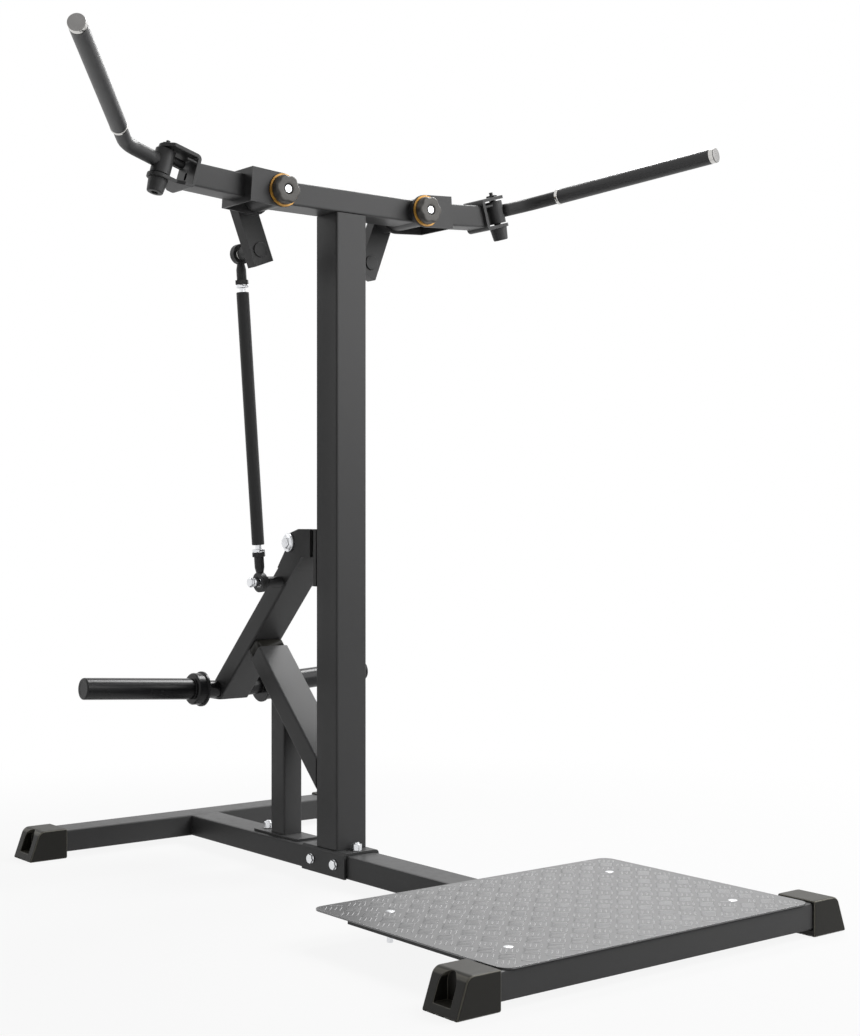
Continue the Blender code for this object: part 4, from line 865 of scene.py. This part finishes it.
class CHESTFLY_OT_feet(bpy.types.Operator):
    """Make the four moulded rubber feet and finish the bumper"""

    bl_idname = "chestfly.feet"
    bl_label = "Make the rubber feet"
    bl_options = {"REGISTER", "UNDO"}

    def execute(self, context):
        settings = context.scene.chest_fly_feet
        coat_node("bumper_pad")
        for node in [name for name in NODES if "shoe" in name]:
            self.foot(node, settings)
        return {"FINISHED"}

    def foot(self, node, settings):
        low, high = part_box(node)
        side = 1 if high.x > 0 else -1
        tip = max(abs(low.x), abs(high.x))
        inner = min(abs(low.x), abs(high.x))
        beyond = 0.02
        middle = (low.y + high.y) / 2
        lean = tan(radians(20))
        top_end = tip - high.z * lean
        outline = [(inner, low.z), (tip, low.z), (top_end, high.z), (inner, high.z)]
        body = prism_along(outline, "y", low.y, high.y, side)
        front_top = [e for e in body.edges if all(abs(v.co.x * side - top_end) < 1e-6 for v in e.verts)]
        bmesh.ops.bevel(body, geom=front_top, offset=0.012, segments=6, profile=0.5, affect="EDGES")
        sharp = [e for e in body.edges if e.calc_face_angle() > radians(30)]
        bmesh.ops.bevel(body, geom=sharp, offset=settings.edge, segments=4, profile=0.5, affect="EDGES")
        foot = loose_piece(f"{node}_fine", body)

        half = 0.0215
        sill = 0.017
        deep = 0.030
        crown = high.z - 0.0012 - half
        arch = [(middle + half, sill)]
        for i in range(17):
            turn = pi * i / 16
            arch.append((middle + half * cos(turn), crown + half * sin(turn)))
        arch.append((middle - half, sill))
        recess = prism_along(arch, "x", tip - deep - sill * lean, tip + beyond, side)
        wide, tall = TUBE_WIDE + 2 * CLOSE, TUBE_HIGH + 2 * CLOSE
        tube = rounded_box(middle, RAIL_LOW + TUBE_HIGH / 2, wide, tall, 0.005)
        wall = 0.0417
        bore = prism_along(tube, "x", inner - beyond, tip - wall, side)
        cut(foot, [recess, bore], "recess_and_bore")
        lips = foot.modifiers.new("soft_lips", "BEVEL")
        lips.width = 0.0018
        lips.segments = 3
        lips.limit_method = "ANGLE"
        lips.angle_limit = radians(50)
        lips.use_clamp_overlap = False

        grooves = []
        a, b = 0.002, 0.003
        for share in (-0.375, -0.125, 0.125, 0.375):
            y = middle + share * (high.y - low.y)
            groove = [(y - a, -b), (y + a, -b), (y + a, b), (y - a, b)]
            grooves.append(prism_along(groove, "x", inner - beyond, tip + beyond, side))
        cut(foot, grooves, "sole_grooves")
        settle(foot)
        dress(foot, node, "rubber_black", [node])


class CHESTFLY_OT_fasteners(bpy.types.Operator):
    """Make the bolts, nuts and washers with their flats and threads"""

    bl_idname = "chestfly.fasteners"
    bl_label = "Make the fasteners"
    bl_options = {"REGISTER", "UNDO"}

    def execute(self, context):
        self.sides = context.scene.chest_fly_fasteners.sides
        for node in ("saddle_bolt_front", "saddle_bolt_rear"):
            self.through_bolt(node)
        for node in ("column_foot_bolt", "post_foot_bolt"):
            self.foot_bolt(node)
        for name, side in SIDES:
            self.rod_stud(name, side)
            self.lever_pin(name, side)
        self.lever_pivot()
        return {"FINISHED"}

    def through_bolt(self, node):
        low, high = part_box(node)
        origin = Vector((0, (low.y + high.y) / 2, (low.z + high.z) / 2))
        left = low.x + BOLT_HEAD
        left_in = left + WASHER_THICK
        right_in = 0.0466
        right = right_in + WASHER_THICK
        profile = [(low.x, 0)]
        profile += reversed(hex_head(left, low.x, BOLT_FLATS))
        profile += [(left, WASHER_RADIUS), (left_in, WASHER_RADIUS), (left_in, BOLT_RADIUS)]
        profile += [(right_in, BOLT_RADIUS), (right_in, WASHER_RADIUS), (right, WASHER_RADIUS)]
        profile += hex_head(right, right + BOLT_HEAD, BOLT_FLATS)
        profile += thread(right + 0.0050, high.x, BOLT_RADIUS) + [(high.x, 0)]
        turned_stand_in(node, "zinc", profile, origin, (1, 0, 0), self.sides, turn=0.2)

    def foot_bolt(self, node):
        low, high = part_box(node)
        origin = Vector(((low.x + high.x) / 2, (low.y + high.y) / 2, 0))
        seat = low.z + 0.020
        nut = seat + WASHER_THICK
        profile = [(low.z, 0), (low.z, BOLT_RADIUS), (seat, BOLT_RADIUS)]
        profile += [(seat, WASHER_RADIUS), (nut, WASHER_RADIUS)]
        profile += hex_head(nut, high.z - 0.003, BOLT_FLATS)
        profile += thread(high.z - 0.0036, high.z, 0.0057) + [(high.z, 0)]
        turned_stand_in(node, "zinc", profile, origin, (0, 0, 1), self.sides, turn=0.35)

    def rod_stud(self, name, side):
        head = STUD_END - BOLT_HEAD
        profile = [(2 * CLOSE, 0), (2 * CLOSE, BOLT_RADIUS), (head - 0.0096, BOLT_RADIUS)]
        profile += [(head - 0.0096, 0.0088), (head - 0.0090, 0.0094), (head - 0.0070, 0.0094)]
        profile += [(head - 0.0056, 0.0078), (head - WASHER_THICK, 0.0078)]
        profile += [(head - WASHER_THICK, WASHER_RADIUS), (head, WASHER_RADIUS)]
        profile += hex_head(head, STUD_END, BOLT_FLATS) + [(STUD_END - 0.0004, 0)]
        node = f"rod_stud_{name}"
        turned_stand_in(node, "zinc", profile, STUD_PLACE, (side, 0, 0), self.sides, turn=0.5)

    def lever_pin(self, name, side):
        node = f"lever_pin_{name}"
        low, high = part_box(node)
        radius = 0.008
        cap = 0.0165
        cap_end = low.y + 0.003
        ease = 0.0008
        nut_end = high.y - 0.0015
        nut_from = nut_end - 0.010
        profile = [(low.y, 0), (low.y, cap - ease), (low.y + ease, cap)]
        profile += [(cap_end, cap), (cap_end, radius), (nut_from, radius)]
        profile += hex_head(nut_from, nut_end, 0.024) + [(nut_end - 0.0003, radius)]
        profile += [(high.y - 0.0004, 0.0078), (high.y, 0.0068), (high.y, 0)]
        place = lever_pin_line(side, 0)
        turned_stand_in(node, "frame_charcoal", profile, place, (0, 1, 0), self.sides, turn=0.3)

    def lever_pivot(self):
        face = 0.0403
        end = face + 0.005
        tip = end + 0.0075
        rim = 0.021
        ease = 0.0007
        right = [(face, AXLE_RADIUS), (face, rim - ease), (face + ease, rim)]
        right += [(end - ease, rim), (end, rim - ease)]
        right += hex_head(end, tip, 0.024) + [(tip - 0.0005, 0)]
        left = [(-point[0],) + tuple(point[1:]) for point in reversed(right)]
        both = left + right
        turned_stand_in("lever_pivot_bolt", "zinc", both, LEVER_PIVOT, (1, 0, 0), self.sides, turn=0.3)


class CHESTFLY_OT_weight_horns(bpy.types.Operator):
    """Make the two plate horns with their flanges and collars, and close the weight lever's head"""

    bl_idname = "chestfly.weight_horns"
    bl_label = "Make the plate horns"
    bl_options = {"REGISTER", "UNDO"}

    def execute(self, context):
        self.lever_wall()
        self.lug_shoulder()
        for name, side in SIDES:
            self.horn(f"plate_horn_{name}", side)
        return {"FINISHED"}

    def horn(self, node, side):
        low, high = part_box(node)
        out = max(abs(low.x), abs(high.x)) / cos(HORN_RISE) - 0.0015
        radius = 0.025
        flange = [(0.0404, 0), (0.0404, 0.0205), (0.080, 0.0205), (0.080, 0.0415), (0.086, 0.0415)]
        collar = [(0.086, 0.0375), (0.107, 0.0375), (0.110, 0.0345), (0.110, radius)]
        end = [(out - 0.003, radius), (out - 0.0009, 0.0243), (out, 0.0225), (out, 0.0165)]
        end += [(out - 0.0006, 0.0160), (out - 0.0006, 0)]
        along = (side * cos(HORN_RISE), 0, sin(HORN_RISE))
        turned_stand_in(node, "horn_black", eased(flange + collar + end, 0.0012), HORN_PLACE, along, 72)

    def lever_wall(self):
        """The front wall of the lever's tube, which runs on up between the cheeks of its head."""
        outline = [(-0.0557, -0.0339), (-0.0557, 0.0103), (-0.0527, 0.0073), (-0.0527, -0.0339)]
        wall = prism_along(outline, "x", -0.0318, 0.0318)
        slope = Matrix.Rotation(radians(45), 4, "X")
        bmesh.ops.transform(wall, matrix=Matrix.Translation(LEVER_PIVOT) @ slope, verts=wall.verts)
        new_piece("lever_front_wall", wall, "weight_lever", "frame_charcoal")

    def lug_shoulder(self):
        """The raised shoulder where the bracket's lug meets its base plate."""
        outline = [(-0.0957, 0.0215), (-0.0957, 0.0300), (-0.0700, 0.0300), (-0.0600, 0.0215)]
        outline = [(LEVER_PIVOT.y + y, LEVER_PIVOT.z + z) for y, z in outline]
        shoulder = prism_along(outline, "x", -0.0312, 0.0312)
        new_piece("bracket_lug_shoulder", shoulder, "lever_bracket", "frame_charcoal")


class CHESTFLY_OT_pivots(bpy.types.Operator):
    """Make the arm pivots: knobs with lobes, orange washers and their bright bolts"""

    bl_idname = "chestfly.pivots"
    bl_label = "Make the arm pivots"
    bl_options = {"REGISTER", "UNDO"}

    def execute(self, context):
        for name, side in SIDES:
            place, back = arm_line(side)
            self.washer(name, place, back)
            self.knob(name, side, place)
            self.axle(name, place, back)
        return {"FINISHED"}

    def washer(self, name, place, back):
        start = -HOUSING_HALF - CLOSE - RING_THICK
        outline = eased(washer_outline(start, start + RING_THICK, 0.0128, 0.0345), 0.0007, closed=True)
        turned_stand_in(f"pivot_washer_{name}", "washer_orange", outline, place, back, 72, ring=True)

    def knob(self, name, side, place):
        rear = place.y - HOUSING_HALF - 2 * CLOSE - RING_THICK
        front = rear - KNOB_LONG
        levels = [  # y, share of the radius, depth of the lobes
            (rear, 0.94, 0.0), (rear - 0.0010, 1.0, 0.0), (rear - 0.0055, 1.0, 0.35),
            (front + 0.0052, 1.0, 1.0), (front + 0.0030, 0.985, 1.0), (front + 0.0012, 0.945, 1.0),
            (front + 0.0003, 0.885, 0.9), (front, 0.80, 0.6), (front, 0.52, 0.0),
            (front + 0.0003, 0.385, 0.0), (front + 0.0012, 0.352, 0.0),
            (front + 0.0070, 0.341, 0.0), (front + 0.0070, 0.205, 0.0),
        ]
        sides = 96
        body = bmesh.new()
        rows = []
        for y, share, lobes in levels:
            row = []
            for i in range(sides):
                turn = 2 * pi * i / sides
                scallop = (0.5 - 0.5 * cos(6 * turn)) ** 1.4
                radius = KNOB_RADIUS * share - 0.0036 * lobes * scallop
                tilt = turn + side * ARM_TILT
                x, z = place.x + radius * cos(tilt), place.z + radius * sin(tilt)
                row.append(body.verts.new((x, y, z)))
            rows.append(row)
        skin(body, rows, False)
        stand_in(body, f"knob_{name}", "knob_dark")

    def axle(self, name, place, back):
        ring_front = -HOUSING_HALF - CLOSE - RING_THICK
        seat = ring_front - 2 * CLOSE - KNOB_LONG + 0.007
        tip = seat - 0.0052
        profile = [(tip + 0.0007, 0)]
        profile += reversed(hex_head(seat, tip, 0.0165, 0.0012))
        profile += [(seat, BOLT_RADIUS), (ring_front, BOLT_RADIUS), (ring_front, AXLE_RADIUS)]
        rear = HOUSING_HALF
        profile += [(rear - 0.001, AXLE_RADIUS), (rear, AXLE_RADIUS - 0.001), (rear, 0)]
        turned_stand_in(f"pivot_axle_{name}", "zinc", profile, place, back, turn=0.25)


class CHESTFLY_OT_pull_rods(bpy.types.Operator):
    """Make the pull rods' tubes, threaded studs and lock nuts, and the chromed balls"""

    bl_idname = "chestfly.pull_rods"
    bl_label = "Make the pull rods"
    bl_options = {"REGISTER", "UNDO"}

    def execute(self, context):
        ball_y = COLUMN_Y + HOUSING_HALF + CLOSE + BOSS_LONG + DRIVE_THICK
        ball_y += SPACER_LONG + CLOSE + BALL_HALF
        for name, side in SIDES:
            upper = lever_pin_line(side, ball_y)
            self.tube(name, upper, Vector((side * 0.095, STUD_PLACE.y, STUD_PLACE.z)))
            self.ball(name, upper)
        return {"FINISHED"}

    def tube(self, name, upper, lower):
        along = lower - upper
        start = ROD_NECK_LONG + 0.008 + CLOSE
        end = along.length - start
        show = 0.017
        ease = 0.0012
        node = f"rod_tube_{name}"
        top, foot = start + show, end - show
        profile = [(top, 0), (top, ROD_RADIUS - ease), (top + ease, ROD_RADIUS)]
        profile += [(foot - ease, ROD_RADIUS), (foot, ROD_RADIUS - ease), (foot, 0)]
        turned_stand_in(node, "frame_charcoal", profile, upper, along)
        body = bmesh.new()
        self.threaded_end(body, start, 1, show, upper, along)
        self.threaded_end(body, end, -1, show, upper, along)
        new_piece(f"{node}_studs", body, node, "zinc")

    def threaded_end(self, body, start, sign, show, origin, along):
        """A stud out of the tube with its lock nut against the rod end."""
        radius = 0.007
        inside = start + sign * (show + 0.003)
        profile = [(start, 0), (start, radius)]
        profile += hex_head(start + sign * CLOSE, start + sign * (CLOSE + 0.007), 0.027, 0.001)
        profile += thread(start + sign * 0.0075, inside, radius, 0.0015) + [(inside, 0)]
        lathe(body, profile, origin, along)

    def ball(self, name, upper):
        bore = 0.0083
        reach = asin(BALL_HALF / BALL_RADIUS)
        profile = [(-BALL_HALF, bore)]
        for i in range(17):
            turn = -reach + 2 * reach * i / 16
            profile.append((BALL_RADIUS * sin(turn), BALL_RADIUS * cos(turn)))
        profile.append((BALL_HALF, bore))
        turned_stand_in(f"rod_ball_{name}", "chrome", profile, upper, (0, 1, 0), ring=True)


class CHESTFLY_OT_handles(bpy.types.Operator):
    """Make the bent handles with their swivel pins, chromed rings, rubber grips and end caps"""

    bl_idname = "chestfly.handles"
    bl_label = "Make the handles"
    bl_options = {"REGISTER", "UNDO"}

    def execute(self, context):
        radius = context.scene.chest_fly_handles.tube
        for name, side in SIDES:
            self.handle(name, side, radius)
            self.swivel_pin(name, side)
            self.grip(name, side, radius)
        return {"FINISHED"}

    def handle(self, name, side, radius):
        body = bmesh.new()
        upward = swivel_line(side, (0, 0, 0), (0, 0, 1), True)
        barrel = washer_outline(-BARREL_HALF, BARREL_HALF, 0.0083, 0.021)
        lathe(body, eased(barrel, 0.0010, closed=True), *upward, 64, ring=True)
        inward = swivel_line(side, (0, 0, 0.0145), (-1, 0, 0.0145), True)
        lug = [(0.0095, 0), (0.0095, 0.009), (0.047, 0.009), (0.047, 0)]
        lathe(body, eased(lug, 0.0012), *inward, 32)
        straight = HANDLE_OUT - BEND_RADIUS * tan(HANDLE_BEND / 2)
        path = [(0.0095, 0, 0), (straight * 0.5, 0, 0), (straight * 0.98, 0, 0)]
        for i in range(15):
            turn = HANDLE_BEND * i / 14
            path.append((straight + BEND_RADIUS * sin(turn), BEND_RADIUS * (cos(turn) - 1), 0))
        reach = END_CAP_FROM - CLOSE
        for share in (0.15, 0.5, 1.0):
            out, forward = reach * share * cos(HANDLE_BEND), reach * share * sin(HANDLE_BEND)
            path.append((HANDLE_OUT + out, -forward, 0))
        sweep(body, [swivel_point(side, rolled(point), True) for point in path], radius)
        stand_in(body, f"handle_{name}", "frame_charcoal")

    def swivel_pin(self, name, side):
        """The pin with its bolt above the bracket and its socket-headed cap below."""
        top = BARREL_HALF + 0.0028
        over = top + 0.0075 + CLOSE
        low = -over
        cap = low - 0.029
        shank, bolt, socket = 0.008, 0.0045, 0.007
        profile = [(cap + 0.010, 0), (cap + 0.010, 0.0081, socket), (cap + 0.0008, 0.0081, socket)]
        profile += [(cap + 0.0002, 0.0088, socket * 1.08), (cap, 0.0095), (cap, 0.0148)]
        profile += [(cap + 0.0006, 0.0162), (cap + 0.0022, 0.0171), (low - 0.0009, 0.0202)]
        profile += [(low - 0.0002, 0.0203), (low, 0.0198), (low, shank), (top - CLOSE, shank)]
        profile += [(top - CLOSE, bolt), (over, bolt)] + hex_head(over, over + 0.004, 0.022, 0.0012)
        profile += thread(over + 0.0036, over + 0.011, bolt, 0.00125) + [(over + 0.011, 0)]
        upward = swivel_line(side, (0, 0, 0), (0, 0, 1))
        turned_stand_in(f"swivel_pin_{name}", "frame_charcoal", profile, *upward, turn=0.4)

    def grip(self, name, side, radius):
        """The chromed ring, the rubber sleeve and the end cap with its turned face."""
        corner = Vector((HANDLE_OUT, 0, 0))
        along = Vector(rolled((cos(HANDLE_BEND), -sin(HANDLE_BEND), 0)))
        line = swivel_line(side, corner, corner + along, True)
        inner = radius + CLOSE
        outline = washer_outline(GRIP_RING_FROM, GRIP_RING_END, inner, 0.018)
        outline = eased(outline, 0.0014, 4, closed=True)
        turned_stand_in(f"grip_ring_{name}", "chrome", outline, *line, 64, ring=True)
        outline = washer_outline(GRIP_RING_END + CLOSE, END_CAP_FROM - CLOSE, inner, 0.017)
        outline = eased(outline, 0.0010, closed=True)
        turned_stand_in(f"grip_{name}", "grip_black", outline, *line, 64, ring=True)

        node = f"end_cap_{name}"
        plug = radius - 0.0031
        rim = 0.0168
        face = HANDLE_END - 0.0032
        profile = [(END_CAP_FROM - 0.010, 0), (END_CAP_FROM - 0.010, plug), (END_CAP_FROM, plug)]
        profile += [(END_CAP_FROM, rim - 0.0004), (END_CAP_FROM + 0.0004, rim), (face - 0.0003, rim)]
        profile += [(face, rim - 0.0003), (face, rim - 0.0009)]
        turned_stand_in(node, "chrome", profile, *line, 64)
        edge = rim - 0.0003
        profile = [(face - 0.002, 0), (face - 0.002, rim - 0.001), (face, rim - 0.001), (face, edge)]
        profile += [(HANDLE_END - 0.0010, edge), (HANDLE_END - 0.0003, edge - 0.0006)]
        profile += [(HANDLE_END, edge - 0.0020), (HANDLE_END, 0)]
        body = bmesh.new()
        lathe(body, profile, *line, 64)
        new_piece(f"{node}_face", body, node, "end_face")


class CHESTFLY_OT_studio(bpy.types.Operator):
    """Set up the pale floor, the soft lights and the camera"""

    bl_idname = "chestfly.studio"
    bl_label = "Set up the studio"
    bl_options = {"REGISTER", "UNDO"}

    def execute(self, context):
        settings = context.scene.chest_fly_studio
        self.floor(settings)
        self.backdrop(context.scene, settings)
        for name, power, place, target, size, seen_in_gloss in LAMPS:
            self.lamp(name, getattr(settings, power), place, target, size, seen_in_gloss)
        self.camera(context.scene)
        context.scene.view_settings.view_transform = "Standard"
        return {"FINISHED"}

    def camera(self, scene):
        """A level camera, as solved from the photo's straight edges."""
        data = bpy.data.cameras.new("photo_camera")
        data.sensor_width = CAMERA_SENSOR
        data.lens = CAMERA_LENS
        data.shift_y = CAMERA_SHIFT
        data.clip_start = 0.05
        data.clip_end = 200.0
        camera = bpy.data.objects.new("photo_camera", data)
        camera.location = CAMERA_PLACE
        camera.rotation_euler = (radians(90), 0, CAMERA_TURN)
        scene.collection.objects.link(camera)
        scene.camera = camera

    def seen_or_mirrored(self, look):
        """1 for what the camera sees, also in a mirror or through glass."""
        rays = look.node("ShaderNodeLightPath").socket.node.outputs
        names = ("Is Camera Ray", "Is Glossy Ray", "Is Transmission Ray")
        camera, glossy, through = [Signal(look, rays[name]) for name in names]
        return camera.highest(glossy).highest(through)

    def floor(self, settings):
        half = settings.floor / 2
        body = bmesh.new()
        steps = [-half, -8, -3, -1.5, 0, 1.5, 3, 8, half]
        grid = [[body.verts.new((x, y, -0.0004)) for x in steps] for y in steps]
        for i in range(len(steps) - 1):
            for j in range(len(steps) - 1):
                body.faces.new([grid[i][j], grid[i][j + 1], grid[i + 1][j + 1], grid[i + 1][j]])
        mesh = bpy.data.meshes.new("studio_floor")
        body.to_mesh(mesh)
        body.free()
        floor = bpy.data.objects.new("studio_floor", mesh)
        bpy.context.scene.collection.objects.link(floor)
        look = Look("studio_floor_white")
        pale = look.node("ShaderNodeBsdfDiffuse", None, {"Color": (0.50, 0.50, 0.50, 1.0)})
        white = look.node("ShaderNodeEmission", None, {"Color": WHITE, "Strength": 1.0})
        place = {0: look.place()}
        distance = look.node("ShaderNodeVectorMath", {"operation": "LENGTH"}, place, output="Value")
        share = 0.90 + distance.step(1.0, 2.2) * 0.10
        seen = self.seen_or_mirrored(look)
        mixed = look.node("ShaderNodeMixShader", None, {0: share * seen, 1: pale, 2: white})
        look.node("ShaderNodeOutputMaterial", None, {0: mixed})
        mesh.materials.append(look.block)

    def backdrop(self, scene, settings):
        look = Look("white_studio", "worlds")
        seen = self.seen_or_mirrored(look)
        even = look.node("ShaderNodeBackground", None, {"Color": WHITE, "Strength": settings.ambient})
        white = look.node("ShaderNodeBackground", None, {"Color": WHITE, "Strength": 1.0})
        mixed = look.node("ShaderNodeMixShader", None, {0: seen, 1: even, 2: white})
        look.node("ShaderNodeOutputWorld", None, {0: mixed})
        scene.world = look.block

    def lamp(self, name, power, place, target, size, seen_in_gloss):
        data = bpy.data.lights.new(name, "AREA")
        data.shape = "SQUARE"
        data.size = size
        data.energy = power
        lamp = bpy.data.objects.new(name, data)
        lamp.visible_glossy = seen_in_gloss
        lamp.location = place
        lamp.rotation_euler = (Vector(target) - Vector(place)).to_track_quat("-Z", "Y").to_euler()
        bpy.context.scene.collection.objects.link(lamp)


STEPS = (
    CHESTFLY_OT_frame,
    CHESTFLY_OT_platform,
    CHESTFLY_OT_feet,
    CHESTFLY_OT_fasteners,
    CHESTFLY_OT_weight_horns,
    CHESTFLY_OT_pivots,
    CHESTFLY_OT_pull_rods,
    CHESTFLY_OT_handles,
    CHESTFLY_OT_studio,
)


class CHESTFLY_PT_panel(bpy.types.Panel):
    """The steps that dress the chest fly machine"""

    bl_idname = "CHESTFLY_PT_panel"
    bl_label = "Chest fly machine"
    bl_space_type = "VIEW_3D"
    bl_region_type = "UI"
    bl_category = "Chest Fly"

    def draw(self, context):
        column = self.layout.column(align=True)
        for step in STEPS:
            column.operator(step.bl_idname)


GROUPS = (
    ("chest_fly_paint", ChestFlyPaint),
    ("chest_fly_platform", ChestFlyPlatform),
    ("chest_fly_feet", ChestFlyFeet),
    ("chest_fly_fasteners", ChestFlyFasteners),
    ("chest_fly_handles", ChestFlyHandles),
    ("chest_fly_studio", ChestFlyStudio),
)


def register():
    for name, group in GROUPS:
        bpy.utils.register_class(group)
        setattr(bpy.types.Scene, name, PointerProperty(type=group))
    for step in STEPS:
        bpy.utils.register_class(step)
    bpy.utils.register_class(CHESTFLY_PT_panel)


def unregister():
    bpy.utils.unregister_class(CHESTFLY_PT_panel)
    for step in reversed(STEPS):
        bpy.utils.unregister_class(step)
    for name, group in reversed(GROUPS):
        delattr(bpy.types.Scene, name)
        bpy.utils.unregister_class(group)


def main():
    register()
    bpy.ops.chestfly.frame()
    bpy.ops.chestfly.platform()
    bpy.ops.chestfly.feet()
    bpy.ops.chestfly.fasteners()
    bpy.ops.chestfly.weight_horns()
    bpy.ops.chestfly.pivots()
    bpy.ops.chestfly.pull_rods()
    bpy.ops.chestfly.handles()
    bpy.ops.chestfly.studio()


if __name__ == "__main__":
    main()
